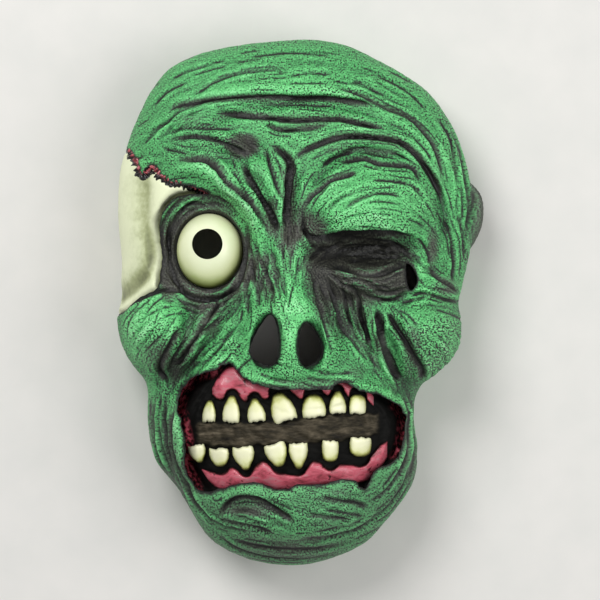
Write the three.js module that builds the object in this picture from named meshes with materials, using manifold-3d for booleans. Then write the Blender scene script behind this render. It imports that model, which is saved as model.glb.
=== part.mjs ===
import * as THREE from "three";
import { mergeVertices } from "three/addons/utils/BufferGeometryUtils.js";
import Module from "manifold-3d";

// A rubber monster mask that covers the face, lying on its open back with the face up.
// X runs to the right of the face as it is looked at, Y to the top of the head, Z out of the face.
// The rim of the open back lies in the plane Z = 0.

// Driving dimensions of the whole mask, in millimetres.
const MASK_WIDTH = 202;
const MASK_HEIGHT = 288;
const DOME_HEIGHT = 86;
const SKIN_WALL = 2.6;

// The inserts that show through the skin.
const PLATE_WALL = 2.4;
const FIT_GAP = 0.4;

// The bulging eye.
const EYE_WIDTH = 36;
const EYE_HEIGHT = 41;
const EYE_BULGE = 17;
const EYE_WALL = 2.4;
const EYE_FLANGE = 3;
const PUPIL_WIDTH = 16.5;

// Teeth and gums.
const TOOTH_THICKNESS = 4.2;
const TOOTH_EDGE = 1.8;
const TOOTH_CLEARANCE = 1.1;
const GUM_THICKNESS = 3.2;
const MOUTH_DEPTH = 4.6;
const MOUTH_MARGIN = 4;

// How finely each surface is divided.
const SKIN_GRID = [40, 52];
const HOLLOW_GRID = [20, 28];
const PLATE_GRID = [8, 10];
const FLANGE_GRID = [8, 8];
const MOUTH_GRID = [14, 9];
const TOOTH_GRID = [4, 4];
const GUM_STATIONS = 20;
const EYE_STEPS = 22;
const DOME_STEPS = 5;
const CUTTER_GRID = [12, 12];

// The dome's section: a power over 2 makes it flat in front and steep at the sides.
const DOME_POWER = 2.4;
const CENTRE_SPREAD = 0.35;
const SIDE_START = 0.78;
const SIDE_RELIEF = 0.3;

// The forms fade out between these shares of the way down the side wall.
const FADE_FROM = 0.45;
const FADE_TO = 0.95;

// The outline of the face from the front. x and y are percent of half the width and half the height.
// tuck is how far the rim lies inside the outline there, in percent of half the width.
// turn is the height at which the side wall begins, in percent of the dome's height.
const OUTLINE = [
  { x: 0, y: 100, tuck: 7, turn: 40 },
  { x: 24, y: 98, tuck: 7, turn: 40 },
  { x: 43, y: 92, tuck: 7, turn: 39 },
  { x: 56, y: 87, tuck: 7, turn: 38 },
  { x: 70, y: 80, tuck: 7, turn: 37 },
  { x: 80, y: 71, tuck: 7, turn: 36 },
  { x: 87, y: 61, tuck: 7, turn: 36 },
  { x: 92, y: 49, tuck: 7, turn: 36 },
  { x: 95, y: 38, tuck: 7, turn: 36 },
  { x: 95, y: 26, tuck: 7, turn: 36 },
  { x: 91, y: 11, tuck: 6, turn: 36 },
  { x: 87, y: 1, tuck: 6, turn: 36 },
  { x: 88, y: -10, tuck: 10, turn: 38 },
  { x: 85, y: -19, tuck: 10, turn: 38 },
  { x: 75, y: -27, tuck: 6, turn: 38 },
  { x: 66, y: -34, tuck: 4, turn: 38 },
  { x: 62, y: -44, tuck: 3, turn: 38 },
  { x: 64, y: -59, tuck: 5, turn: 40 },
  { x: 61, y: -71, tuck: 6, turn: 42 },
  { x: 47, y: -84, tuck: 6, turn: 44 },
  { x: 30, y: -94, tuck: 7, turn: 46 },
  { x: 0, y: -100, tuck: 8, turn: 46 },
  { x: -27, y: -98, tuck: 8, turn: 46 },
  { x: -48, y: -91, tuck: 7, turn: 45 },
  { x: -59, y: -81, tuck: 6, turn: 44 },
  { x: -67, y: -72, tuck: 6, turn: 42 },
  { x: -79, y: -61, tuck: 7, turn: 40 },
  { x: -83, y: -48, tuck: 6, turn: 38 },
  { x: -84, y: -33, tuck: 5, turn: 38 },
  { x: -93, y: -23, tuck: 11, turn: 38 },
  { x: -99, y: -13, tuck: 13, turn: 38 },
  { x: -100, y: -5, tuck: 13, turn: 38 },
  { x: -99, y: 4, tuck: 10, turn: 36 },
  { x: -98, y: 15, tuck: 9, turn: 36 },
  { x: -100, y: 32, tuck: 9, turn: 36 },
  { x: -99, y: 49, tuck: 9, turn: 36 },
  { x: -95, y: 59, tuck: 8, turn: 36 },
  { x: -89, y: 70, tuck: 8, turn: 36 },
  { x: -80, y: 82, tuck: 8, turn: 37 },
  { x: -67, y: 91, tuck: 7, turn: 38 },
  { x: -41, y: 97, tuck: 7, turn: 39 },
];

// Swellings and hollows of the skin, each an ellipse: x and y its centre and rx and ry its radii, in
// percent of half the width and half the height. rise is in percent of the dome's height, and a
// larger edge makes a flatter middle with steeper sides.
const SWELLINGS = [
  { name: "muzzle", x: -6, y: -52, rx: 78, ry: 44, rise: 11, edge: 2.6 },
  { name: "chin", x: -4, y: -86, rx: 66, ry: 26, rise: 16, edge: 2 },
  { name: "nose", x: -5, y: -13, rx: 32, ry: 25, rise: 24, edge: 2 },
  { name: "nose_bridge", x: -5, y: 12, rx: 16, ry: 26, rise: 9, edge: 2 },
  { name: "right_brow", x: 34, y: 37, rx: 44, ry: 18, rise: 16, edge: 2.6 },
  { name: "right_eye_hollow", x: 36, y: 18.5, rx: 40, ry: 9, rise: -17, edge: 2.4 },
  { name: "right_eyelid", x: 37, y: 8, rx: 30, ry: 9, rise: 9, edge: 2 },
  { name: "right_cheek", x: 68, y: -15, rx: 25, ry: 19, rise: 17, edge: 2.4 },
  { name: "right_cheek_fold", x: 74, y: 4, rx: 24, ry: 7, rise: 6, edge: 2 },
  { name: "right_temple", x: 80, y: 24, rx: 18, ry: 26, rise: -5, edge: 2 },
  { name: "right_under_cheek", x: 58, y: -34, rx: 16, ry: 12, rise: -8, edge: 2 },
  { name: "left_cheek", x: -78, y: -13, rx: 24, ry: 18, rise: 18, edge: 2.4 },
  { name: "left_under_cheek", x: -66, y: -30, rx: 20, ry: 14, rise: -8, edge: 2 },
  { name: "left_eye_socket", x: -50, y: 20, rx: 31, ry: 23, rise: -13, edge: 5 },
  { name: "left_eye_bag", x: -44, y: -2, rx: 26, ry: 8, rise: -7, edge: 2 },
  { name: "left_brow_hollow", x: -29, y: 55, rx: 16, ry: 7, rise: -6, edge: 2 },
  { name: "right_eye_bag", x: 26, y: -8, rx: 16, ry: 14, rise: -6, edge: 2 },
  { name: "left_nostril", x: -17, y: -16, rx: 9.5, ry: 12.5, rise: -13, edge: 5 },
  { name: "right_nostril", x: 6, y: -17, rx: 8, ry: 11, rise: -13, edge: 5 },
];

// Thick rolls and deep furrows, each a curve from its start past its bend to its end, in percent of
// half the width and half the height. half is half its width in percent of half the mask's width,
// and rise is in percent of the dome's height.
const ROLLS = [
  { name: "left_brow", start: [-74, 50], bend: [-36, 56], end: [-17, 20], half: 9, rise: 9 },
  { name: "left_brow_upper", start: [-52, 62], bend: [-20, 60], end: [-6, 26], half: 7, rise: 6 },
  { name: "left_brow_furrow", start: [-46, 50], bend: [-24, 44], end: [-14, 24], half: 5, rise: -4.5 },
  { name: "frown_furrow", start: [-3, 56], bend: [-4, 36], end: [-7, 18], half: 5, rise: -4.5 },
  { name: "right_brow_arc", start: [2, 32], bend: [14, 66], end: [60, 52], half: 5, rise: -4 },
  { name: "right_brow_side", start: [60, 52], bend: [80, 44], end: [78, 18], half: 5, rise: -4 },
  { name: "forehead_low", start: [-66, 60], bend: [-2, 86], end: [56, 66], half: 6, rise: -3.5 },
  { name: "forehead_roll", start: [-74, 66], bend: [0, 98], end: [74, 60], half: 7, rise: 3 },
  { name: "left_nose_fold", start: [-36, 0], bend: [-52, -16], end: [-72, -40], half: 5, rise: -5 },
  { name: "left_cheek_crease", start: [-58, 1], bend: [-58, -14], end: [-76, -32], half: 5, rise: -5 },
  { name: "left_fold_ridge", start: [-44, -2], bend: [-54, -16], end: [-70, -34], half: 5, rise: 4 },
  { name: "right_nose_slot", start: [33, -2], bend: [37, -10], end: [42, -24], half: 4.5, rise: -4 },
  { name: "right_cheek_slot", start: [43, -6], bend: [47, -18], end: [56, -32], half: 4.5, rise: -5 },
  { name: "right_cheek_edge", start: [48, -4], bend: [58, -16], end: [64, -31], half: 4.5, rise: -4.5 },
  { name: "right_nose_ridge", start: [30, 2], bend: [44, -16], end: [52, -34], half: 5, rise: 4 },
  { name: "mouth_lip_left", start: [-42, -26], bend: [-76, -34], end: [-60, -70], half: 7, rise: 7 },
  { name: "mouth_lip_right", start: [40, -33], bend: [70, -42], end: [50, -66], half: 6, rise: 6 },
  { name: "upper_lip", start: [-38, -24], bend: [-4, -42], end: [42, -33], half: 7, rise: 4 },
  { name: "jaw_furrow_left", start: [-74, -36], bend: [-74, -56], end: [-54, -78], half: 5, rise: -4 },
  { name: "chin_furrow_upper", start: [-44, -79], bend: [-24, -73], end: [-2, -82], half: 5, rise: -4 },
  { name: "chin_furrow_lower", start: [-50, -84], bend: [-4, -96], end: [40, -84], half: 5, rise: -3 },
];

// Folds too small for the inside of the mask to follow, with the same columns as the rolls.
const CREASES = [
  { name: "forehead_top", start: [-52, 77], bend: [0, 92], end: [30, 84], half: 3, rise: -1.8 },
  { name: "forehead_mid", start: [-64, 72], bend: [-20, 80], end: [42, 73], half: 4, rise: -1.8 },
  { name: "forehead_side", start: [28, 79], bend: [70, 68], end: [77, 38], half: 4, rise: -1.8 },
  { name: "brow_arc_inner", start: [2, 32], bend: [16, 50], end: [58, 44], half: 3.5, rise: -1.8 },
  { name: "brow_arc_low", start: [14, 34], bend: [34, 48], end: [60, 36], half: 3, rise: -1.6 },
  { name: "brow_left_low", start: [-72, 48], bend: [-46, 52], end: [-28, 34], half: 3, rise: -1.8 },
  { name: "lid_line", start: [14, 13], bend: [34, 7], end: [58, 14], half: 3, rise: -1.8 },
  { name: "lid_under", start: [12, 10], bend: [36, -2], end: [60, 2], half: 3, rise: -1.8 },
  { name: "jaw_left_line", start: [-80, -36], bend: [-82, -58], end: [-64, -72], half: 3, rise: -1.8 },
  { name: "jaw_right_line", start: [60, -38], bend: [64, -56], end: [52, -76], half: 3, rise: -1.8 },
  { name: "chin_line_upper", start: [20, -72], bend: [40, -76], end: [56, -66], half: 3, rise: -1.6 },
  { name: "chin_line_lower", start: [-40, -90], bend: [0, -99], end: [40, -90], half: 3, rise: -1.6 },
];

// The low flap on the right side wall, behind the temple.
const SIDE_FLAP = { x: 104, y: 35, rx: 14, ry: 16, rise: 26, edge: 3 };

// Openings in the skin, as outlines in percent of half the width and half the height.
const SKULL_WINDOW = [
  [-118, 56], [-97, 58], [-90, 54], [-85, 47], [-80, 51], [-72, 45], [-60, 43], [-52, 41], [-47, 37],
  [-56, 39], [-65, 35], [-72, 30], [-76, 21], [-76, 11], [-77, 4], [-83, 2], [-90, -1], [-98, -5],
  [-118, -7],
];
const MOUTH_WINDOW = [
  [-39, -24], [-35, -25.5], [-30, -28.5], [-25, -31], [-18, -32.5], [-10, -33], [2, -33.5], [9, -33.5],
  [17, -33], [20, -31], [26, -31.5], [31, -33.5], [38, -35], [44, -36], [51, -39], [56, -42.5],
  [57, -47.5], [54, -56], [51, -60.5], [41, -63.5], [38, -66.5], [36, -71], [33, -70.5], [29, -67.5],
  [20, -67.5], [11, -69], [0, -69], [-7, -70.5], [-14, -70.5], [-21, -68.5], [-33, -69], [-42, -71],
  [-53, -72.5], [-58, -69], [-61.5, -64], [-61.5, -56], [-62.5, -50], [-64.5, -43.5], [-65.5, -38],
  [-62, -32.5], [-55.5, -28.5], [-46, -26.5],
];
const LEFT_NOSTRIL = [
  [-15.9, -5.5], [-20.5, -9], [-24.5, -14], [-26.5, -19], [-24, -22.5], [-16, -24.5], [-12, -22],
  [-11.5, -15.5], [-12.5, -9],
];
const RIGHT_NOSTRIL = [
  [2.6, -8.5], [-0.5, -13.5], [-0.5, -21], [3, -24.5], [8.5, -23], [11.5, -19.5], [10.5, -15], [7, -10.5],
];
const SIGHT_SLIT = [[57, 13.5], [60.5, 12], [63, 7.5], [59.5, 3.5], [57, 7.5]];

// The low and high corner of the rectangle that each sheet behind a window covers.
const SKULL_SHEET = [[-122, -14], [-40, 63]];
const MOUTH_SHEET = [[-76, -80], [66, -18]];

const EYE_CENTRE = { x: -48.5, y: 18.5 };
const PUPIL_CENTRE = { x: -49.5, y: 21 };

// Teeth: tip and root are points in percent of half the width and half the height, and tipWide and
// rootWide are widths in percent of half the width.
const TEETH = [
  { name: "upper_tooth_1", tip: [-49, -45.5], root: [-49, -38], tipWide: 7, rootWide: 5 },
  { name: "upper_tooth_2", tip: [-37, -45.5], root: [-36.5, -36], tipWide: 9, rootWide: 5 },
  { name: "upper_tooth_3", tip: [-23, -45.5], root: [-24, -37], tipWide: 9, rootWide: 5 },
  { name: "upper_tooth_4", tip: [-7, -45], root: [-11.5, -35], tipWide: 13, rootWide: 7 },
  { name: "upper_tooth_5", tip: [7.5, -43.5], root: [7, -36], tipWide: 12, rootWide: 8 },
  { name: "upper_tooth_6", tip: [20, -42], root: [20.5, -34.5], tipWide: 9, rootWide: 5 },
  { name: "upper_tooth_7", tip: [31, -42.5], root: [31, -36], tipWide: 9, rootWide: 7 },
  { name: "lower_tooth_1", tip: [-55.5, -54.5], root: [-54, -61], tipWide: 9, rootWide: 5 },
  { name: "lower_tooth_2", tip: [-43.5, -56], root: [-42, -62], tipWide: 10, rootWide: 7 },
  { name: "lower_tooth_3", tip: [-31, -55], root: [-29.5, -63], tipWide: 11, rootWide: 6 },
  { name: "lower_tooth_4", tip: [-13.5, -54], root: [-11, -61.5], tipWide: 11, rootWide: 6 },
  { name: "lower_tooth_5", tip: [-1, -53.5], root: [-0.5, -62.5], tipWide: 10, rootWide: 5 },
  { name: "lower_tooth_6", tip: [16, -53], root: [16, -60.5], tipWide: 8, rootWide: 6 },
  { name: "lower_tooth_7", tip: [32.5, -52], root: [32, -58.5], tipWide: 11, rootWide: 9 },
];

// Gums: a station for each step along the jaw, with its lower and upper edge, in the same percents.
const UPPER_GUM = [
  { x: -54, low: -36.5, high: -33 },
  { x: -46, low: -37.5, high: -30 },
  { x: -41, low: -36, high: -26 },
  { x: -36, low: -34, high: -24 },
  { x: -30, low: -38, high: -26.5 },
  { x: -24, low: -35.5, high: -29 },
  { x: -17, low: -36.5, high: -30.5 },
  { x: -8, low: -35, high: -31 },
  { x: 1, low: -37.5, high: -31 },
  { x: 8, low: -35, high: -31 },
  { x: 15, low: -35.5, high: -30.5 },
  { x: 21, low: -34.5, high: -29 },
  { x: 26, low: -36.5, high: -29.5 },
  { x: 33, low: -36, high: -31 },
  { x: 42, low: -39, high: -33 },
];
const LOWER_GUM = [
  { x: -49, low: -69, high: -64.5 },
  { x: -43, low: -72.5, high: -64.5 },
  { x: -36, low: -71.5, high: -62 },
  { x: -29, low: -71, high: -65 },
  { x: -20, low: -70.5, high: -60 },
  { x: -13, low: -72, high: -63 },
  { x: -5, low: -72, high: -65 },
  { x: 2, low: -71, high: -64 },
  { x: 7, low: -71, high: -60 },
  { x: 16, low: -70, high: -62.5 },
  { x: 22, low: -69.5, high: -61 },
  { x: 30, low: -69.5, high: -61.5 },
  { x: 38, low: -68, high: -58 },
  { x: 43, low: -64.5, high: -54.5 },
  { x: 48, low: -60.5, high: -52.5 },
];

const HALF_WIDTH = MASK_WIDTH / 2;
const HALF_HEIGHT = MASK_HEIGHT / 2;
const PERCENT = 0.01;
const acrossFace = (percent) => percent * PERCENT * HALF_WIDTH;
const upFace = (percent) => percent * PERCENT * HALF_HEIGHT;
const outOfFace = (percent) => percent * PERCENT * DOME_HEIGHT;
const placed = (points) => points.map(([x, y]) => [acrossFace(x), upFace(y)]);
const clamp01 = (value) => Math.min(1, Math.max(0, value));
const smoothStep = (from, to, value) => {
  const t = clamp01((value - from) / (to - from));
  return t * t * (3 - 2 * t);
};

// A closed curve through the rows' values of one column, at t from 0 to the number of rows.
function closedSpline(values, t) {
  const count = values.length;
  const first = Math.floor(t);
  const f = t - first;
  const [a, b, c, d] = [-1, 0, 1, 2].map((k) => values[(first + k + count) % count]);
  return b + 0.5 * f * (c - a + f * (2 * a - 5 * b + 4 * c - d + f * (3 * (b - c) + d - a)));
}

// The edge of the face in every direction from its middle: radius, tuck and turn by angle.
const EDGE_SAMPLES = 1440;
const edgeTable = (() => {
  const rows = [];
  const columns = {
    x: OUTLINE.map((row) => acrossFace(row.x)),
    y: OUTLINE.map((row) => upFace(row.y)),
    tuck: OUTLINE.map((row) => acrossFace(row.tuck)),
    turn: OUTLINE.map((row) => outOfFace(row.turn)),
  };
  for (let i = 0; i < EDGE_SAMPLES; i++) {
    const t = (i / EDGE_SAMPLES) * OUTLINE.length;
    const x = closedSpline(columns.x, t);
    const y = closedSpline(columns.y, t);
    const tuck = closedSpline(columns.tuck, t);
    const turn = closedSpline(columns.turn, t);
    rows.push({ angle: Math.atan2(y, x), radius: Math.hypot(x, y), tuck, turn });
  }
  return rows.sort((one, other) => one.angle - other.angle);
})();

function edgeAt(angle) {
  let low = 0;
  let high = edgeTable.length - 1;
  while (high - low > 1) {
    const middle = (low + high) >> 1;
    if (edgeTable[middle].angle <= angle) low = middle;
    else high = middle;
  }
  const a = edgeTable[low];
  const b = edgeTable[high];
  const f = clamp01((angle - a.angle) / (b.angle - a.angle));
  return {
    radius: a.radius + f * (b.radius - a.radius),
    tuck: a.tuck + f * (b.tuck - a.tuck),
    turn: a.turn + f * (b.turn - a.turn),
  };
}

// A smooth rise that is 1 in the middle and 0 from distance 1 on.
const swell = (distance, edge) => (distance >= 1 ? 0 : (1 - distance ** edge) ** 2);

function swellingRise(row, x, y) {
  const across = (x - acrossFace(row.x)) / acrossFace(row.rx);
  const up = (y - upFace(row.y)) / upFace(row.ry);
  return outOfFace(row.rise) * swell(Math.hypot(across, up), row.edge);
}

// Each roll's or crease's curve as short straight steps, worked out once.
const CURVE_STEPS = 14;
const traced = (rows) =>
  rows.map((row) => {
    const [start, bend, end] = placed([row.start, row.bend, row.end]);
    const curve = new THREE.QuadraticBezierCurve(
      new THREE.Vector2(...start),
      new THREE.Vector2(...bend),
      new THREE.Vector2(...end),
    );
    return { row, points: curve.getPoints(CURVE_STEPS) };
  });
const ROLL_CURVES = traced(ROLLS);
const CREASE_CURVES = traced(CREASES);
const END_TAPER = 0.25;

function curveRise({ row, points }, x, y) {
  const half = acrossFace(row.half);
  let nearest = Infinity;
  let along = 0;
  for (let i = 0; i + 1 < points.length; i++) {
    const [a, b] = [points[i], points[i + 1]];
    const [dx, dy] = [b.x - a.x, b.y - a.y];
    const f = clamp01(((x - a.x) * dx + (y - a.y) * dy) / (dx * dx + dy * dy));
    const distance = Math.hypot(x - a.x - f * dx, y - a.y - f * dy);
    if (distance < nearest) {
      nearest = distance;
      along = (i + f) / (points.length - 1);
    }
  }
  const ends = smoothStep(0, END_TAPER, along) * smoothStep(0, END_TAPER, 1 - along);
  return outOfFace(row.rise) * ends * swell(nearest / half, 2);
}

const sum = (values) => values.reduce((total, value) => total + value, 0);

// The height of the skin's large forms over the plain dome, which the inside follows too.
const largeRelief = (x, y) =>
  sum([...SWELLINGS, SIDE_FLAP].map((row) => swellingRise(row, x, y))) +
  sum(ROLL_CURVES.map((curve) => curveRise(curve, x, y)));
const smallRelief = (x, y) => sum(CREASE_CURVES.map((curve) => curveRise(curve, x, y)));

// A point of the flat pattern, taken to its place on the mask. Past the outline the pattern runs
// down the side wall, and past the rim it runs straight on below it.
function onMask(x, y, relief) {
  const angle = Math.atan2(y, x);
  const edge = edgeAt(angle);
  const distance = Math.hypot(x, y);
  const reach = distance / edge.radius;
  const down = Math.max(0, (distance - edge.radius) / edge.turn);
  const dome = Math.sqrt(Math.max(0, 1 - reach ** DOME_POWER));
  const rise = relief(x, y) * (1 - smoothStep(FADE_FROM, FADE_TO, down));
  const side = smoothStep(SIDE_START, 1, reach);
  const lean = Math.hypot(1 - side, side);
  const outward = (rise * side * SIDE_RELIEF) / lean;
  const upward = (rise * (1 - side)) / lean;
  const radius = Math.min(distance, edge.radius) - edge.tuck * Math.min(down, 1) ** 2 + outward;
  const base = down > 0 ? edge.turn * (1 - down) : edge.turn + (DOME_HEIGHT - edge.turn) * dome;
  return new THREE.Vector3(radius * Math.cos(angle), radius * Math.sin(angle), base + upward);
}

const skinSurface = (x, y) => onMask(x, y, (u, v) => largeRelief(u, v) + smallRelief(u, v));

// The inside is smoother than the outside: it follows the lowest of the large forms close by.
const SMOOTHING_REACH = 5.5;
const NEARBY = [[0, 0], ...[0, 1, 2, 3, 4, 5].map((step) => {
  const angle = (step * Math.PI) / 3;
  return [SMOOTHING_REACH * Math.cos(angle), SMOOTHING_REACH * Math.sin(angle)];
})];
const lowestRelief = (x, y) => Math.min(...NEARBY.map(([dx, dy]) => largeRelief(x + dx, y + dy)));
const innerSurface = (x, y) => onMask(x, y, lowestRelief);

// The outward direction of a surface at a point of the flat pattern.
const NORMAL_STEP = 1.5;
function outwardAt(surface, x, y) {
  const alongX = surface(x + NORMAL_STEP, y).sub(surface(x - NORMAL_STEP, y));
  const alongY = surface(x, y + NORMAL_STEP).sub(surface(x, y - NORMAL_STEP));
  return alongX.cross(alongY).normalize();
}

const offsetFrom = (surface, x, y, offset) =>
  surface(x, y).addScaledVector(outwardAt(surface, x, y), offset);

// How far an outline lies from its middle in one direction.
const PARALLEL = 1e-9;
function rayRadius(outline, centre, angle) {
  const [ux, uy] = [Math.cos(angle), Math.sin(angle)];
  let farthest = 0;
  outline.forEach(([ax, ay], i) => {
    const [bx, by] = outline[(i + 1) % outline.length];
    const [px, py, dx, dy] = [ax - centre[0], ay - centre[1], bx - ax, by - ay];
    const turned = ux * dy - uy * dx;
    if (Math.abs(turned) < PARALLEL) return;
    const ray = (px * dy - py * dx) / turned;
    const share = (px * uy - py * ux) / turned;
    if (share >= 0 && share <= 1) farthest = Math.max(farthest, ray);
  });
  return farthest;
}

// The middle of an outline's bounding box.
function middleOf(outline) {
  const xs = outline.map(([x]) => x);
  const ys = outline.map(([, y]) => y);
  const half = (values) => (Math.min(...values) + Math.max(...values)) / 2;
  return [half(xs), half(ys)];
}

// A closed body from two faces over one square grid: top and bottom take (u, v) from -1 to 1.
function closedGrid([columns, rows], top, bottom) {
  const vertices = [];
  const triangles = [];
  const layer = (columns + 1) * (rows + 1);
  for (const face of [top, bottom])
    for (let j = 0; j <= rows; j++)
      for (let i = 0; i <= columns; i++)
        vertices.push(...face((2 * i) / columns - 1, (2 * j) / rows - 1).toArray());
  const at = (i, j, side) => side * layer + j * (columns + 1) + i;
  const quad = (a, b, c, d) => triangles.push(a, b, c, a, c, d);
  for (let j = 0; j < rows; j++)
    for (let i = 0; i < columns; i++) {
      quad(at(i, j, 0), at(i + 1, j, 0), at(i + 1, j + 1, 0), at(i, j + 1, 0));
      quad(at(i, j, 1), at(i, j + 1, 1), at(i + 1, j + 1, 1), at(i + 1, j, 1));
    }
  for (let i = 0; i < columns; i++) {
    quad(at(i, 0, 0), at(i, 0, 1), at(i + 1, 0, 1), at(i + 1, 0, 0));
    quad(at(i, rows, 0), at(i + 1, rows, 0), at(i + 1, rows, 1), at(i, rows, 1));
  }
  for (let j = 0; j < rows; j++) {
    quad(at(0, j, 0), at(0, j + 1, 0), at(0, j + 1, 1), at(0, j, 1));
    quad(at(columns, j, 0), at(columns, j, 1), at(columns, j + 1, 1), at(columns, j + 1, 0));
  }
  const geometry = new THREE.BufferGeometry();
  geometry.setAttribute("position", new THREE.Float32BufferAttribute(vertices, 3));
  geometry.setIndex(triangles);
  return geometry;
}

// A square from -1 to 1 on each side, drawn in to a round disc of radius 1.
function squareToDisc(u, v) {
  const p = u * Math.sqrt(1 - (v * v) / 2);
  const q = v * Math.sqrt(1 - (u * u) / 2);
  return { reach: Math.min(1, Math.hypot(p, q)), angle: Math.atan2(q, p) };
}

// A slab over a patch of the flat pattern. place takes a point of the pattern and an offset to the
// slab's place, and the two offsets take the share of the way from the middle to the edge.
function slab(outline, place, grid, topOffset, bottomOffset, lap = 0) {
  const centre = middleOf(outline);
  const face = (offset) => (u, v) => {
    const { reach, angle } = squareToDisc(u, v);
    const radius = reach * (rayRadius(outline, centre, angle) + lap);
    const x = centre[0] + radius * Math.cos(angle);
    const y = centre[1] + radius * Math.sin(angle);
    return place(x, y, offset(reach));
  };
  return closedGrid(grid, face(topOffset), face(bottomOffset));
}

const wasm = await Module();
wasm.setup();

const MERGE_DISTANCE = 1e-3;
function solidFrom(geometry) {
  const bare = geometry.clone();
  bare.deleteAttribute("normal");
  bare.deleteAttribute("uv");
  const merged = mergeVertices(bare, MERGE_DISTANCE);
  const vertProperties = merged.attributes.position.array;
  const triVerts = new Uint32Array(merged.index.array);
  return new wasm.Manifold(new wasm.Mesh({ numProp: 3, vertProperties, triVerts }));
}

function geometryFrom(solid) {
  const { vertProperties, triVerts } = solid.getMesh();
  const geometry = new THREE.BufferGeometry();
  geometry.setAttribute("position", new THREE.BufferAttribute(vertProperties, 3));
  geometry.setIndex(new THREE.BufferAttribute(triVerts, 1));
  geometry.computeVertexNormals();
  return geometry;
}

// The whole mask as a filled body over the flat pattern, moved in by an offset, with a flat floor.
const RIM_SHARE = 0.86;
const RIM_REACH = 0.999;
const FLOOR_DEPTH = 1;
function filledMask(grid, surface, inset, floor) {
  const face = (u, v) => {
    const { reach, angle } = squareToDisc(u, v);
    const edge = edgeAt(angle);
    if (reach > RIM_REACH) {
      const radius = edge.radius - edge.tuck - inset;
      return new THREE.Vector3(radius * Math.cos(angle), radius * Math.sin(angle), floor);
    }
    const front = Math.min(1, reach / RIM_SHARE);
    const spread = front + CENTRE_SPREAD * front * (1 - front);
    const down = clamp01((reach - RIM_SHARE) / (1 - RIM_SHARE));
    const distance = edge.radius * spread + edge.turn * down;
    return offsetFrom(surface, distance * Math.cos(angle), distance * Math.sin(angle), -inset);
  };
  const ground = (u, v) => {
    const { reach, angle } = squareToDisc(u, v);
    const edge = edgeAt(angle);
    const radius = reach * (edge.radius - edge.tuck - inset);
    return new THREE.Vector3(radius * Math.cos(angle), radius * Math.sin(angle), floor - FLOOR_DEPTH);
  };
  return solidFrom(closedGrid(grid, face, ground));
}

const RIM_PLANE = 0;
const BELOW_RIM = -4;
const FAR = 400;
const belowRim = () =>
  solidFrom(new THREE.BoxGeometry(FAR, FAR, FAR).translate(0, 0, RIM_PLANE - FAR / 2));

// An outline carried straight back through the mask from in front.
function prism(outline) {
  const shape = new THREE.Shape(outline.map(([x, y]) => new THREE.Vector2(x, y)));
  return solidFrom(new THREE.ExtrudeGeometry(shape, { depth: FAR, bevelEnabled: false }));
}

// An outline moved away from its middle.
function grown(outline, by) {
  const [cx, cy] = middleOf(outline);
  return outline.map(([x, y]) => {
    const away = 1 + by / Math.hypot(x - cx, y - cy);
    return [cx + (x - cx) * away, cy + (y - cy) * away];
  });
}

// The skull window's cutter is square to the wall, because the window runs over the side.
const CUT_REACH = 14;
function throughSkin(x, y, offset) {
  const angle = Math.atan2(y, x);
  const side = smoothStep(SIDE_START, 1, Math.hypot(x, y) / edgeAt(angle).radius);
  const across = new THREE.Vector3(side * Math.cos(angle), side * Math.sin(angle), 1 - side);
  return onMask(x, y, () => 0).addScaledVector(across.normalize(), offset);
}
const skullCutter = () => {
  const [top, bottom] = [() => CUT_REACH * 2, () => -CUT_REACH];
  return solidFrom(slab(placed(SKULL_WINDOW), throughSkin, CUTTER_GRID, top, bottom));
};

// An upright elliptical post through the eye socket, for the eyeball's hole.
function eyePost(margin) {
  const post = new THREE.CylinderGeometry(1, 1, FAR, EYE_STEPS * 2).rotateX(Math.PI / 2);
  post.scale(EYE_WIDTH / 2 + margin, EYE_HEIGHT / 2 + margin, 1);
  return solidFrom(post.translate(acrossFace(EYE_CENTRE.x), upFace(EYE_CENTRE.y), FAR / 2));
}

function makeSkin() {
  const outside = filledMask(SKIN_GRID, skinSurface, 0, RIM_PLANE);
  const hollow = filledMask(HOLLOW_GRID, innerSurface, SKIN_WALL, BELOW_RIM);
  let skin = outside.subtract(hollow).subtract(belowRim());
  for (const outline of [MOUTH_WINDOW, LEFT_NOSTRIL, RIGHT_NOSTRIL, SIGHT_SLIT])
    skin = skin.subtract(prism(placed(outline)));
  return skin.subtract(skullCutter()).subtract(eyePost(FIT_GAP));
}

// The inserts lie behind the skin, clear of it by the fit gap, and come through it only where the
// skin is cut away.
const plateTop = -(SKIN_WALL + FIT_GAP);
const insideSkin = filledMask(HOLLOW_GRID, innerSurface, SKIN_WALL + FIT_GAP, BELOW_RIM);
const behindSkin = (x, y, offset) => offsetFrom(innerSurface, x, y, plateTop + offset);

// A sheet over an upright rectangle of the flat pattern, from its low corner to its high corner.
function sheet([low, high], place, grid, top, bottom) {
  const [[x0, y0], [x1, y1]] = placed([low, high]);
  const face = (offset) => (u, v) =>
    place(x0 + ((x1 - x0) * (u + 1)) / 2, y0 + ((y1 - y0) * (v + 1)) / 2, offset);
  return solidFrom(closedGrid(grid, face(top), face(bottom)));
}
const makeSkullPlate = () =>
  sheet(SKULL_SHEET, behindSkin, PLATE_GRID, 0, -PLATE_WALL)
    .intersect(insideSkin)
    .subtract(eyePost(EYE_FLANGE + FIT_GAP));

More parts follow.
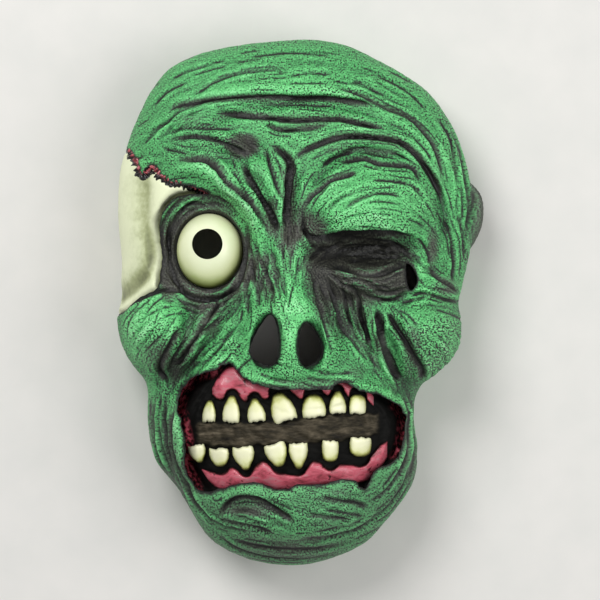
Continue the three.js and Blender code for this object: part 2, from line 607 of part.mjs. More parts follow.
// The mouth plate is a tray: its floor, set back behind the lips, follows the muzzle and the hollows
// beside it, and its wall meets the skin. Teeth and gums stand on the floor.
const MUZZLE = SWELLINGS.find((row) => row.name === "muzzle");
const archSurface = (x, y) =>
  onMask(x, y, (u, v) => Math.min(swellingRise(MUZZLE, u, v), lowestRelief(u, v)));
const STEEPEST = 0.5;
function overFloor(x, y, offset) {
  const point = archSurface(x, y);
  const steepness = Math.max(STEEPEST, outwardAt(archSurface, x, y).z);
  point.z += (plateTop - MOUTH_DEPTH) / steepness + offset;
  return point;
}
function makeMouthPlate() {
  const window = placed(MOUTH_WINDOW);
  const floor = sheet(MOUTH_SHEET, overFloor, MOUTH_GRID, 0, -PLATE_WALL);
  const wall = sheet(MOUTH_SHEET, overFloor, MOUTH_GRID, MOUTH_DEPTH * 2, -PLATE_WALL);
  return wall
    .subtract(prism(grown(window, MOUTH_MARGIN)))
    .add(floor)
    .intersect(prism(grown(window, MOUTH_MARGIN + PLATE_WALL)))
    .intersect(insideSkin);
}

// What stands on the floor is cut clear of it by the fit gap.
const ROOTED = -2;
const belowFloor = sheet(MOUTH_SHEET, overFloor, MOUTH_GRID, FIT_GAP, -CUT_REACH);

// A tooth's outline: a straight biting edge, a belly, and a rounded root.
const BELLY_SHARE = 0.35;
const BELLY_WIDE = 1.1;
const ROOT_SHARE = 0.88;
function toothOutline({ tip, root, tipWide, rootWide }, margin = 0) {
  const [[tx, ty], [rx, ry]] = placed([tip, root]);
  const length = Math.hypot(rx - tx, ry - ty);
  const [ux, uy] = [(rx - tx) / length, (ry - ty) / length];
  const point = (along, aside) => [tx + ux * along - uy * aside, ty + uy * along + ux * aside];
  const tipHalf = acrossFace(tipWide) / 2 + margin;
  const rootHalf = acrossFace(rootWide) / 2 + margin;
  const bellyHalf = tipHalf * BELLY_WIDE;
  const belly = length * BELLY_SHARE;
  const neck = length * ROOT_SHARE;
  const sides = [[-margin, tipHalf], [belly, bellyHalf], [neck, rootHalf]];
  const right = sides.map(([along, aside]) => point(along, -aside));
  const left = sides.map(([along, aside]) => point(along, aside)).reverse();
  return [...right, point(length + margin, 0), ...left];
}

function toothSolid(row) {
  const top = (reach) => TOOTH_EDGE + (TOOTH_THICKNESS - TOOTH_EDGE) * (1 - reach ** 2);
  const shape = slab(toothOutline(row), overFloor, TOOTH_GRID, top, () => ROOTED);
  return solidFrom(shape).subtract(belowFloor);
}
function toothSeat(row) {
  const outline = toothOutline(row, TOOTH_CLEARANCE);
  const [top, bottom] = [() => TOOTH_THICKNESS * 2, () => -TOOTH_THICKNESS];
  return solidFrom(slab(outline, overFloor, TOOTH_GRID, top, bottom));
}

// A gum as a strip between its low and high edge, swollen in the middle, cut clear of its teeth and
// of the tray's wall.
const GUM_EDGE = 0.4;
function gumSolid(stations, teeth) {
  const column = (key) => {
    const points = stations.map((row) => new THREE.Vector2(acrossFace(row.x), upFace(row[key])));
    return new THREE.SplineCurve(points);
  };
  const [low, high] = [column("low"), column("high")];
  const face = (offset) => (u, v) => {
    const t = (u + 1) / 2;
    const point = low.getPoint(t).lerp(high.getPoint(t), (v + 1) / 2);
    return overFloor(point.x, point.y, offset(v));
  };
  const top = face((v) => GUM_THICKNESS * (GUM_EDGE + (1 - GUM_EDGE) * (1 - v * v)));
  const whole = solidFrom(closedGrid([GUM_STATIONS, 2], top, face(() => ROOTED)));
  const tray = prism(grown(placed(MOUTH_WINDOW), MOUTH_MARGIN - FIT_GAP));
  const inTray = whole.subtract(belowFloor).intersect(tray);
  return teeth.reduce((left, row) => left.subtract(toothSeat(row)), inTray);
}

// The lowest level of the skin's inside round the eye.
function socketFloor() {
  const [x, y] = [acrossFace(EYE_CENTRE.x), upFace(EYE_CENTRE.y)];
  const levels = [];
  for (let i = 0; i < EYE_STEPS; i++) {
    const angle = (i / EYE_STEPS) * 2 * Math.PI;
    const px = x + (EYE_WIDTH / 2) * Math.cos(angle);
    const py = y + (EYE_HEIGHT / 2) * Math.sin(angle);
    levels.push(offsetFrom(innerSurface, px, py, plateTop).z);
  }
  return { low: Math.min(...levels), mean: sum(levels) / levels.length };
}

// The eyeball: a hollow dome with a round hole for the pupil, and a flange behind the skin.
function eyeballSolid() {
  const [x, y] = [acrossFace(EYE_CENTRE.x), upFace(EYE_CENTRE.y)];
  const { low, mean } = socketFloor();
  const bottom = low - EYE_WALL;
  const domed = (radius, height) => {
    const profile = [new THREE.Vector2(0, bottom), new THREE.Vector2(radius, bottom)];
    for (let step = 0; step < DOME_STEPS; step++) {
      const slope = (step / DOME_STEPS) * (Math.PI / 2);
      profile.push(new THREE.Vector2(radius * Math.cos(slope), mean + height * Math.sin(slope)));
    }
    profile.push(new THREE.Vector2(0, mean + height));
    const dome = new THREE.LatheGeometry(profile, EYE_STEPS).rotateX(Math.PI / 2);
    return solidFrom(dome.scale(1, EYE_HEIGHT / EYE_WIDTH, 1).translate(x, y, 0));
  };
  const outline = [];
  for (let i = 0; i < EYE_STEPS; i++) {
    const angle = (i / EYE_STEPS) * 2 * Math.PI;
    outline.push([x + (EYE_WIDTH / 2) * Math.cos(angle), y + (EYE_HEIGHT / 2) * Math.sin(angle)]);
  }
  const flange = solidFrom(
    slab(outline, behindSkin, FLANGE_GRID, () => 0, () => -EYE_WALL, EYE_FLANGE),
  );
  const pupil = new THREE.CylinderGeometry(PUPIL_WIDTH / 2, PUPIL_WIDTH / 2, FAR, EYE_STEPS);
  pupil.rotateX(Math.PI / 2);
  pupil.translate(acrossFace(PUPIL_CENTRE.x), upFace(PUPIL_CENTRE.y), mean + FAR / 2);
  return flange
    .intersect(insideSkin)
    .intersect(eyePost(EYE_FLANGE))
    .add(domed(EYE_WIDTH / 2, EYE_BULGE))
    .subtract(domed(EYE_WIDTH / 2 - EYE_WALL, EYE_BULGE - EYE_WALL))
    .subtract(solidFrom(pupil));
}

// Colours and finishes.
const finish = (color, roughness) => new THREE.MeshStandardMaterial({ color, roughness, metalness: 0 });
const GREEN_SKIN = finish("#5cb26c", 0.6);
const BONE = finish("#dfe5bd", 0.55);
const EYE_CREAM = finish("#eaf2c7", 0.45);
const DARK_MOUTH = finish("#2a251a", 0.6);
const GUM_PINK = finish("#bf6e7a", 0.5);
const TOOTH_CREAM = finish("#f0f1c3", 0.45);

const mask = new THREE.Group();
function add(name, solid, material) {
  const mesh = new THREE.Mesh(geometryFrom(solid), material);
  mesh.name = name;
  mask.add(mesh);
}

const ofJaw = (jaw) => TEETH.filter((row) => row.name.startsWith(jaw));
add("face_skin", makeSkin(), GREEN_SKIN);
add("skull_plate", makeSkullPlate(), BONE);
add("mouth_plate", makeMouthPlate(), DARK_MOUTH);
add("eyeball", eyeballSolid(), EYE_CREAM);
add("upper_gum", gumSolid(UPPER_GUM, ofJaw("upper")), GUM_PINK);
add("lower_gum", gumSolid(LOWER_GUM, ofJaw("lower")), GUM_PINK);
for (const row of TEETH) add(row.name, toothSolid(row), TOOTH_CREAM);

export default mask;
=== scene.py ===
# %% [markdown]
# # A rubber ghoul mask
#
# The real mask is cast in latex: the wet rubber skins over the inside of a plaster mould, is pulled
# out hollow and soft, and is then painted. A near-black wash runs into every wrinkle, and a nearly
# dry brush of bright green catches only the high spots. This lesson builds that skin and the pieces
# that show through its torn openings: a patch of skull, a bulging eye, gums and teeth.
#
# All lengths below are in millimetres, and they become metres when a mesh is made.

# %% The frame and its size
import math

import bmesh
import bpy
import numpy as np
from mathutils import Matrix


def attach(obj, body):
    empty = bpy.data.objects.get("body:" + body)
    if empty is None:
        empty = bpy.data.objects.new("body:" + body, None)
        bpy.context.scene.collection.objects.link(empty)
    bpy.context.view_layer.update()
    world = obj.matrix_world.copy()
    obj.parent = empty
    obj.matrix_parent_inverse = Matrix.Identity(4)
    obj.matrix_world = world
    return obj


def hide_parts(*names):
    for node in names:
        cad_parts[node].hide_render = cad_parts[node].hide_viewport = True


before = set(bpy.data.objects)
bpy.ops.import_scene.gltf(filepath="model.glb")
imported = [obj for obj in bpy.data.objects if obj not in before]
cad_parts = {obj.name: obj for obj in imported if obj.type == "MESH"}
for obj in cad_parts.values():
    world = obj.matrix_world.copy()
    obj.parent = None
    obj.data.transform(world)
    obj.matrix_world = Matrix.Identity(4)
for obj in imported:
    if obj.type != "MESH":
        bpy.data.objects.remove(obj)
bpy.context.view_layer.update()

# %% [markdown]
# The camera looks straight down on the face, as the photograph does. A long lens from far away keeps
# the nose from looming, and its distance is set so that 600 pixels span 330 mm at the height of the
# face.

# %% Camera
SPAN = 330.0
FACE_LEVEL = 45.0
LENS = 200.0
SENSOR = 36.0
camera_data = bpy.data.cameras.new("camera")
camera_data.lens = LENS
camera_data.sensor_width = SENSOR
camera_data.clip_end = 20.0
camera = bpy.data.objects.new("camera", camera_data)
camera_height = FACE_LEVEL + SPAN * LENS / SENSOR
camera.location = (0.0, 0.0, camera_height / 1000)
bpy.context.scene.collection.objects.link(camera)
bpy.context.scene.camera = camera
print("camera height in mm:", round(camera_height))

# %% [markdown]
# A face is easiest to lay out flat, as a pattern is for a cut cloth. The tables below give each form
# a place in percent of half the width and half the height, with 0, 0 in the middle of the face. The
# outline says how far the flat front reaches in each direction.

# %% Sizes and the outline of the face
HALF_WIDTH = 101.0
HALF_HEIGHT = 144.0
DOME_HEIGHT = 86.0
SKIN_WALL = 2.6
PLATE_WALL = 2.4
FIT_GAP = 0.4
PLATE_TOP = -(SKIN_WALL + FIT_GAP)
MOUTH_DEPTH = 4.6
rng = np.random.default_rng(11)

OUTLINE = np.array([  # x, y, tuck of the rim, height of the side wall
    (0, 100, 7, 40), (24, 98, 7, 40), (43, 92, 7, 39), (56, 87, 7, 38), (70, 80, 7, 37),
    (80, 71, 7, 36), (87, 61, 7, 36), (92, 49, 7, 36), (95, 38, 7, 36), (95, 26, 7, 36),
    (91, 11, 6, 36), (87, 1, 6, 36), (88, -10, 10, 38), (85, -19, 10, 38), (75, -27, 6, 38),
    (66, -34, 4, 38), (62, -44, 3, 38), (64, -59, 5, 40), (61, -71, 6, 42), (47, -84, 6, 44),
    (30, -94, 7, 46), (0, -100, 8, 46), (-27, -98, 8, 46), (-48, -91, 7, 45), (-59, -81, 6, 44),
    (-67, -72, 6, 42), (-79, -61, 7, 40), (-83, -48, 6, 38), (-84, -33, 5, 38), (-93, -23, 11, 38),
    (-99, -13, 13, 38), (-100, -5, 13, 38), (-99, 4, 10, 36), (-98, 15, 9, 36), (-100, 32, 9, 36),
    (-99, 49, 9, 36), (-95, 59, 8, 36), (-89, 70, 8, 36), (-80, 82, 8, 37), (-67, 91, 7, 38),
    (-41, 97, 7, 39),
], float)


def placed(points):
    """Percents of half the width and half the height, as millimetres."""
    return np.array(points, float) * (HALF_WIDTH / 100, HALF_HEIGHT / 100)


def weave_curve(a, b, c, d, f):
    """A smooth step from b to c that also heeds a and d (Catmull and Rom's curve)."""
    return b + 0.5 * f * (c - a + f * (2 * a - 5 * b + 4 * c - d + f * (3 * (b - c) + d - a)))


def closed_curve(points, steps):
    """A smooth closed curve through points."""
    p = np.array(points, float)
    f = (np.arange(steps) / steps)[None, :, None]
    a, b, c, d = (np.roll(p, k, axis=0)[:, None] for k in (1, 0, -1, -2))
    return weave_curve(a, b, c, d, f).reshape(-1, p.shape[1])


def open_curve(points, steps):
    """A smooth open curve through points."""
    p = np.array(points, float)
    p = np.vstack([2 * p[0] - p[1], p, 2 * p[-1] - p[-2]])
    f = (np.arange(steps) / steps)[None, :, None]
    a, b, c, d = (p[k:len(p) - 3 + k][:, None] for k in range(4))
    return np.vstack([weave_curve(a, b, c, d, f).reshape(-1, p.shape[1]), p[-2]])


edge_rows = closed_curve(
    OUTLINE * (HALF_WIDTH / 100, HALF_HEIGHT / 100, HALF_WIDTH / 100, DOME_HEIGHT / 100), 36)
edge_angle = np.arctan2(edge_rows[:, 1], edge_rows[:, 0])
edge_order = np.argsort(edge_angle)
edge_angle = edge_angle[edge_order]
edge_columns = [np.hypot(edge_rows[:, 0], edge_rows[:, 1])[edge_order],
                edge_rows[edge_order, 2], edge_rows[edge_order, 3]]


def edge_at(angle):
    """The outline's radius, tuck and side wall height in a direction."""
    return [np.interp(angle, edge_angle, column, period=2 * math.pi) for column in edge_columns]


print("outline from", edge_rows[:, :2].min(0).round(1), "to", edge_rows[:, :2].max(0).round(1))

# %% [markdown]
# The big forms are swellings and hollows, each an ellipse that rises smoothly out of the dome, and
# rolls and furrows, each a bent line. A sculptor would push these first in clay, and only then cut
# wrinkles. Here they are added up on a raster of the flat pattern, so that later steps can blur
# them, compare them and read them at any point.

# %% The raster of the flat pattern
STEP = 0.5
X_REACH, Y_REACH = 148.0, 190.0
raster_x = np.arange(-X_REACH, X_REACH + STEP / 2, STEP)
raster_y = np.arange(-Y_REACH, Y_REACH + STEP / 2, STEP)
PX, PY = np.meshgrid(raster_x, raster_y)


def sample(field, x, y):
    """The value of a raster field at points of the pattern."""
    i = np.clip((x + X_REACH) / STEP, 0, field.shape[1] - 1.001)
    j = np.clip((y + Y_REACH) / STEP, 0, field.shape[0] - 1.001)
    i0, j0 = i.astype(int), j.astype(int)
    fi, fj = i - i0, j - j0
    low = field[j0, i0] * (1 - fi) + field[j0, i0 + 1] * fi
    high = field[j0 + 1, i0] * (1 - fi) + field[j0 + 1, i0 + 1] * fi
    return low * (1 - fj) + high * fj


def sample_nearest(field, x, y):
    """The same without blending, for a field that jumps."""
    i = np.clip(np.rint((x + X_REACH) / STEP), 0, field.shape[1] - 1).astype(int)
    j = np.clip(np.rint((y + Y_REACH) / STEP), 0, field.shape[0] - 1).astype(int)
    return field[j, i]


def smooth_step(low, high, value):
    t = np.clip((value - low) / (high - low), 0, 1)
    return t * t * (3 - 2 * t)


def swell(distance, edge):
    return np.where(distance < 1, (1 - np.minimum(distance, 1) ** edge) ** 2, 0)


def swelling(x, y, cx, cy, rx, ry, rise, edge):
    """One elliptical swelling, given in percents."""
    across = (x - cx * HALF_WIDTH / 100) / (rx * HALF_WIDTH / 100)
    up = (y - cy * HALF_HEIGHT / 100) / (ry * HALF_HEIGHT / 100)
    return rise * DOME_HEIGHT / 100 * swell(np.hypot(across, up), edge)


def raster_part(path, margin):
    """The part of the raster round a path."""
    low = (path.min(0) - margin + (X_REACH, Y_REACH)) / STEP
    high = (path.max(0) + margin + (X_REACH, Y_REACH)) / STEP + 2
    i0, j0 = np.maximum(low.astype(int), 0)
    i1, j1 = high.astype(int)
    return slice(j0, j1), slice(i0, i1)


def distance_to(path, x, y):
    """The distance from points to a path, the share of the way along it, and the side they lie on."""
    nearest = np.full(x.shape, 1e6)
    along = np.zeros(x.shape)
    side = np.ones(x.shape)
    for k, (a, b) in enumerate(zip(path, path[1:])):
        dx, dy = b - a
        f = np.clip(((x - a[0]) * dx + (y - a[1]) * dy) / (dx * dx + dy * dy), 0, 1)
        distance = np.hypot(x - a[0] - f * dx, y - a[1] - f * dy)
        closer = distance < nearest
        nearest = np.where(closer, distance, nearest)
        along = np.where(closer, (k + f) / (len(path) - 1), along)
        side = np.where(closer, np.where((y - a[1]) * dx > (x - a[0]) * dy, 1.0, -1.0), side)
    return nearest, along, side


# %% The swellings and rolls
MUZZLE = (-6, -52, 78, 44, 11, 2.6)
SWELLINGS = [  # x, y, rx, ry, rise, edge
    MUZZLE, (-4, -86, 66, 26, 16, 2), (-5, -13, 32, 25, 24, 2), (-5, 12, 16, 26, 9, 2),
    (34, 37, 44, 18, 16, 2.6), (36, 18.5, 40, 9, -17, 2.4), (37, 8, 30, 9, 9, 2),
    (68, -15, 25, 19, 17, 2.4), (74, 4, 24, 7, 6, 2), (80, 24, 18, 26, -5, 2),
    (58, -34, 16, 12, -8, 2), (-78, -13, 24, 18, 18, 2.4), (-66, -30, 20, 14, -8, 2),
    (-50, 20, 31, 23, -13, 5), (-44, -2, 26, 8, -7, 2), (-29, 55, 16, 7, -6, 2),
    (26, -8, 16, 14, -6, 2), (-17, -16, 9.5, 12.5, -13, 5), (6, -17, 8, 11, -13, 5),
    (104, 35, 14, 16, 26, 3),
]
ROLLS = [  # start, bend, end, half width, rise
    ((-74, 50), (-36, 56), (-17, 20), 9, 9), ((-52, 62), (-20, 60), (-6, 26), 7, 6),
    ((-46, 50), (-24, 44), (-14, 24), 5, -4.5), ((-3, 56), (-4, 36), (-7, 18), 5, -4.5),
    ((2, 32), (14, 66), (60, 52), 5, -4), ((60, 52), (80, 44), (78, 18), 5, -4),
    ((-66, 60), (-2, 86), (56, 66), 6, -3.5), ((-74, 66), (0, 98), (74, 60), 7, 3),
    ((-36, 0), (-52, -16), (-72, -40), 5, -5), ((-58, 1), (-58, -14), (-76, -32), 5, -5),
    ((-44, -2), (-54, -16), (-70, -34), 5, 4), ((33, -2), (37, -10), (42, -24), 4.5, -4),
    ((43, -6), (47, -18), (56, -32), 4.5, -5), ((48, -4), (58, -16), (64, -31), 4.5, -4.5),
    ((30, 2), (44, -16), (52, -34), 5, 4), ((-42, -26), (-76, -34), (-60, -70), 7, 7),
    ((40, -33), (70, -42), (50, -66), 6, 6), ((-38, -24), (-4, -42), (42, -33), 7, 4),
    ((-74, -36), (-74, -56), (-54, -78), 5, -4), ((-44, -79), (-24, -73), (-2, -82), 5, -4),
    ((-50, -84), (-4, -96), (40, -84), 5, -3),
]


def arc(start, bend, end, steps=14):
    """A line from start to end that bends towards the middle point."""
    t = np.linspace(0, 1, steps + 1)[:, None]
    return placed(start) * (1 - t) ** 2 + placed(bend) * 2 * t * (1 - t) + placed(end) * t * t


large = sum(swelling(PX, PY, *row) for row in SWELLINGS)
for start, bend, end, half, rise in ROLLS:
    roll_path = arc(start, bend, end)
    part = raster_part(roll_path, half)
    nearest, along = distance_to(roll_path, PX[part], PY[part])[:2]
    ends = smooth_step(0, 0.25, along) * smooth_step(0, 0.25, 1 - along)
    large[part] += rise * DOME_HEIGHT / 100 * ends * swell(nearest / (half * HALF_WIDTH / 100), 2)
around = [(0, 0)] + [(5.5 * math.cos(a), 5.5 * math.sin(a)) for a in np.arange(6) * math.pi / 3]
lowest = np.minimum.reduce([sample(large, PX + dx, PY + dy) for dx, dy in around])
muzzle_floor = np.minimum(swelling(PX, PY, *MUZZLE), lowest)
print("large forms rise", large.min().round(1), "to", large.max().round(1), "mm")

# %% [markdown]
# The flat pattern is bent over a dome that is flat in front and steep at the sides. Past the outline
# it runs down the side wall to the rim. The forms stand straight up on the front and lean outwards
# on the side.

# %% From the flat pattern to the dome
DOME_POWER = 2.4
SIDE_START = 0.78
SIDE_RELIEF = 0.3


def on_mask(x, y, relief):
    """The place on the mask of points of the pattern, with a raster of rises."""
    angle = np.arctan2(y, x)
    radius, tuck, turn = edge_at(angle)
    distance = np.hypot(x, y)
    reach = distance / radius
    down = np.maximum(0, (distance - radius) / turn)
    dome = np.sqrt(np.maximum(0, 1 - reach ** DOME_POWER))
    rise = sample(relief, x, y) * (1 - smooth_step(0.45, 0.95, down))
    side = smooth_step(SIDE_START, 1, reach)
    lean = np.hypot(1 - side, side)
    out = np.minimum(distance, radius) - tuck * np.minimum(down, 1) ** 2
    out = out + rise * side * SIDE_RELIEF / lean
    base = np.where(down > 0, turn * (1 - down), turn + (DOME_HEIGHT - turn) * dome)
    return np.stack([out * np.cos(angle), out * np.sin(angle), base + rise * (1 - side) / lean], -1)


def outward(x, y, relief, step=1.5):
    """The outward direction of the mask's surface."""
    along_x = on_mask(x + step, y, relief) - on_mask(x - step, y, relief)
    along_y = on_mask(x, y + step, relief) - on_mask(x, y - step, relief)
    normal = np.cross(along_x, along_y)
    return normal / np.linalg.norm(normal, axis=-1, keepdims=True)


def off_mask(x, y, relief, offset):
    return on_mask(x, y, relief) + outward(x, y, relief) * np.asarray(offset)[..., None]


def over_floor(x, y, offset):
    """A place over the floor of the mouth, offset straight up."""
    steepness = np.maximum(0.5, outward(x, y, muzzle_floor)[..., 2])
    point = on_mask(x, y, muzzle_floor)
    point[..., 2] += (PLATE_TOP - MOUTH_DEPTH) / steepness + offset
    return point


print("height of the nose tip:", on_mask(np.array([-5.0]), np.array([-18.0]), large)[0, 2].round(1))

# %% [markdown]
# Wrinkles come next. Each is a line drawn on the pattern, with a depth and a half width in
# millimetres that one rule then makes a little shallower and narrower. Its section is a groove
# between two soft lips, as when a tool is drawn through clay, and it runs out at both ends. A bundle
# is a few fine wrinkles side by side, from a first line to a last. The single lines also give the
# direction in which the skin creeps at any point.

# %% The lines of the wrinkles
FOREHEAD = [  # depth, half width, points
    (1.0, 1.4, [(-58, 77.5), (-44, 83), (-29, 86.5), (-4, 88)]),
    (2.2, 1.9, [(-72, 69.5), (-67, 73), (-54, 75), (-42, 76), (-23, 76.5), (0, 76), (13, 76),
                (26.5, 75), (36.5, 74), (42, 72.5)]),
    (1.2, 1.4, [(-25, 74), (0, 73.5), (20, 73)]),
    (1.2, 1.3, [(-85, 62.5), (-72, 67.5), (-63, 72), (-50.5, 73.5)]),
    (0.9, 1.1, [(-85, 59), (-79, 63.5), (-72, 68)]),
    (2.4, 2.1, [(-48, 70.5), (-35, 70), (-17, 68.5), (0, 67.5), (19, 68), (24, 67.5), (39, 65.5),
                (47, 64)]),
    (1.8, 1.8, [(-19.5, 67), (-11, 64), (5, 64.5), (17.5, 66.5)]),
    (1.2, 1.3, [(-71, 62.5), (-63, 64.5), (-49, 64.5), (-32.5, 64)]),
    (1.9, 1.7, [(-70.5, 60.5), (-54, 61.5), (-38, 58), (-25.5, 54)]),
    (1.2, 1.4, [(-74.5, 57.5), (-66.5, 56), (-50.5, 54), (-39.5, 53)]),
    (0.9, 1.2, [(-6, 84.5), (5, 86), (18, 85)]),
    (1.9, 1.6, [(18.5, 80), (26.5, 78.5), (36.5, 76), (45, 73), (54.5, 70.5), (63, 66.5), (69, 62),
                (73, 57.5), (76, 51), (76.5, 44.5)]),
    (1.0, 1.2, [(27, 82), (32, 82.5), (38, 80), (49, 76.5)]),
    (2.8, 2.2, [(-6.5, 50), (1.5, 55.5), (10.5, 58.5), (20.5, 61), (33, 61.5), (48.5, 60.5),
                (56, 58.5), (63, 54.5), (69.5, 48), (75, 41), (77, 35.5)]),
    (1.5, 1.3, [(11.5, 50), (19, 53.5), (29.5, 56)]),
    (1.9, 1.6, [(18.5, 51), (33, 53), (43.5, 51), (59.5, 50), (64.5, 44.5)]),
    (2.2, 1.7, [(2, 33), (5.5, 38), (10, 41), (16, 44.5), (26.5, 47), (30.5, 48)]),
    (1.2, 1.2, [(14, 33), (21.5, 38), (29.5, 40)]),
    (1.3, 1.3, [(23, 33.5), (29.5, 37), (39, 39.5), (48.5, 39.5), (54, 38)]),
    (1.4, 1.3, [(36.5, 44.5), (48.5, 44.5), (59.5, 43), (67, 38)]),
    (1.4, 1.3, [(74.5, 70.5), (81.5, 62), (84, 53.5), (86, 44)]),
    (1.2, 1.2, [(81, 66), (86.5, 58.5), (89, 49.5), (91, 40)]),
    (0.9, 1.2, [(-70, 84), (-62, 87), (-50, 89.5)]),
    (0.9, 1.2, [(-80, 74), (-72, 79), (-60, 83)]),
    (0.9, 1.2, [(-30, 92), (-6, 94), (20, 92.5)]),
    (0.9, 1.2, [(40, 86), (52, 82), (62, 77), (70, 71)]),
]
BROWS = [
    (3.4, 2.2, [(-68.5, 53), (-59, 53), (-50.5, 52.5), (-43.5, 49.5), (-39.5, 44.5), (-31.5, 40),
                (-23, 34), (-15, 23)]),
    (3.2, 2.2, [(-31, 51.5), (-26, 44.5), (-17, 34), (-11, 25)]),
    (1.6, 1.4, [(-19, 57.5), (-14, 46.5), (-8.5, 35.5)]),
    (3.6, 2.6, [(-17, 59.5), (-5.5, 52), (-6, 44.5), (-6.5, 35.5), (-8, 25)]),
    (3.2, 2.0, [(2, 35), (2, 27.5), (7, 23.5), (16.5, 23.5), (25.5, 24.5), (38, 25), (52, 24.8),
                (64, 23.5)]),
    (1.4, 1.2, [(-10, 22), (-9, 16), (-6.5, 8)]),
    (1.4, 1.2, [(-4, 20), (-5, 13), (-4, 7)]),
    (1.2, 1.1, [(-16, 20), (-13.5, 13), (-10, 6), (-8, 1)]),
    (1.2, 1.1, [(0, 17), (-1.5, 10), (-2, 5)]),
    (1.6, 1.2, [(-21, 16), (-17.5, 9), (-14.5, 2)]),
    (1.3, 1.1, [(-26, 12), (-23, 5), (-21.5, -3)]),
    (1.1, 1.1, [(-30, 9), (-28.5, 1), (-27.5, -6)]),
    (1.3, 1.2, [(2, 25), (7, 20.5), (13.5, 19), (18, 21)]),
    (1.5, 1.2, [(5, 14.5), (9.5, 18), (13.5, 20)]),
]
RIGHT_EYE = [
    (1.6, 1.3, [(10, 14.5), (19.5, 21), (29, 23), (49.5, 21.5), (63, 14.5)]),
    (1.1, 1.1, [(15, 15.5), (29.5, 17.5), (49.5, 18), (54, 16.5)]),
    (2.2, 1.5, [(13, 11.5), (22.5, 12), (34.5, 9), (44.5, 9.5), (52.5, 12.5), (57, 13)]),
    (1.6, 1.3, [(17, 10), (25, 7.5), (33, 7.5), (44.5, 3), (57, 4)]),
    (1.3, 1.2, [(22, 6.5), (29, 4), (38, 1), (49, 0), (57, 2)]),
    (1.5, 1.2, [(13.5, 11.5), (21.5, 6.5), (29, 3), (33, -1)]),
    (1.8, 1.4, [(69, 13.5), (75.5, 8), (87, 2)]),
    (1.2, 1.2, [(62, 24), (68, 19), (71, 13)]),
    (1.0, 1.1, [(60, 18), (64, 14.5), (70, 10)]),
    (1.4, 1.3, [(58, 1), (66, 2.5), (76, 0.5), (88, -1)]),
    (1.2, 1.2, [(54, -1), (61, 0), (69, 1.5)]),
    (1.4, 1.3, [(76, 33), (82, 24), (84, 14), (82, 6)]),
    (1.2, 1.2, [(86, 34), (89, 24), (90, 14)]),
]
NOSE_AND_CHEEKS = [
    (3.0, 2.0, [(31.5, 1), (32, -5.5), (35, -11), (38, -17)]),
    (4.0, 2.6, [(41.5, -3), (42.5, -9), (44, -16.5), (50.5, -26.5), (55, -31)]),
    (2.6, 1.8, [(46, -4), (50.5, -9), (57, -16.5), (65, -26.5), (66, -31)]),
    (1.3, 1.2, [(7, 2), (12.5, -6.5), (16, -15.5)]),
    (1.5, 1.2, [(13.5, 9.5), (18.5, -1), (22.5, -10), (29.5, -16.5), (38, -24.5)]),
    (1.5, 1.2, [(19.5, 9.5), (24, 1), (27, -10), (34.5, -18.5), (44, -27.5)]),
    (1.2, 1.1, [(25, 5), (29, -5), (33, -14), (41, -23)]),
    (1.0, 1.1, [(10, 7), (14, 0), (17, -8)]),
    (2.8, 1.8, [(-63.3, -9.2), (-68.3, -15.7), (-73.9, -22.7), (-75.8, -27.9), (-72.7, -31.5)]),
    (3.0, 1.8, [(-43.4, 0.5), (-45.9, -3.9), (-53.4, -11.3), (-62.1, -21), (-68.3, -24.9)]),
    (1.7, 1.3, [(-41.5, -5.6), (-50.2, -11.3), (-59.6, -17.5), (-65.8, -23.6)]),
    (1.2, 1.2, [(-34, -10), (-42, -17), (-50, -23), (-58, -30)]),
    (1.6, 1.4, [(-58, 2), (-66, 3.5), (-76, 3.5), (-84, 1), (-92, -2)]),
    (1.3, 1.2, [(1, -28), (10, -30), (20, -30), (32, -31)]),
    (1.1, 1.1, [(8, -26), (18, -27.5), (30, -27)]),
    (1.1, 1.1, [(-22, -27), (-14, -29.5), (-4, -30.5)]),
]
LEFT_EYE = [
    (1.9, 1.5, [(-44.5, 37.5), (-52.5, 39.5), (-60, 39), (-66.5, 36), (-71.5, 31.5), (-74.5, 26),
                (-74.5, 19), (-74.5, 5.5)]),
    (1.5, 1.3, [(-46, 33.5), (-55.5, 36.5), (-63, 34.5), (-69, 30.5), (-71, 26), (-70.5, 19),
                (-69, 14)]),
    (2.2, 1.6, [(-28.5, 31), (-28, 22), (-29, 14), (-33, 6.5), (-41, 1.5), (-50, 0), (-59, 1.5),
                (-66, 6), (-70, 12)]),
    (1.2, 1.1, [(-34, 3.5), (-42, -1.5), (-52, -3), (-62, -1), (-70, 4)]),
    (1.0, 1.1, [(-38, 0), (-46, -4), (-55, -4.5)]),
]
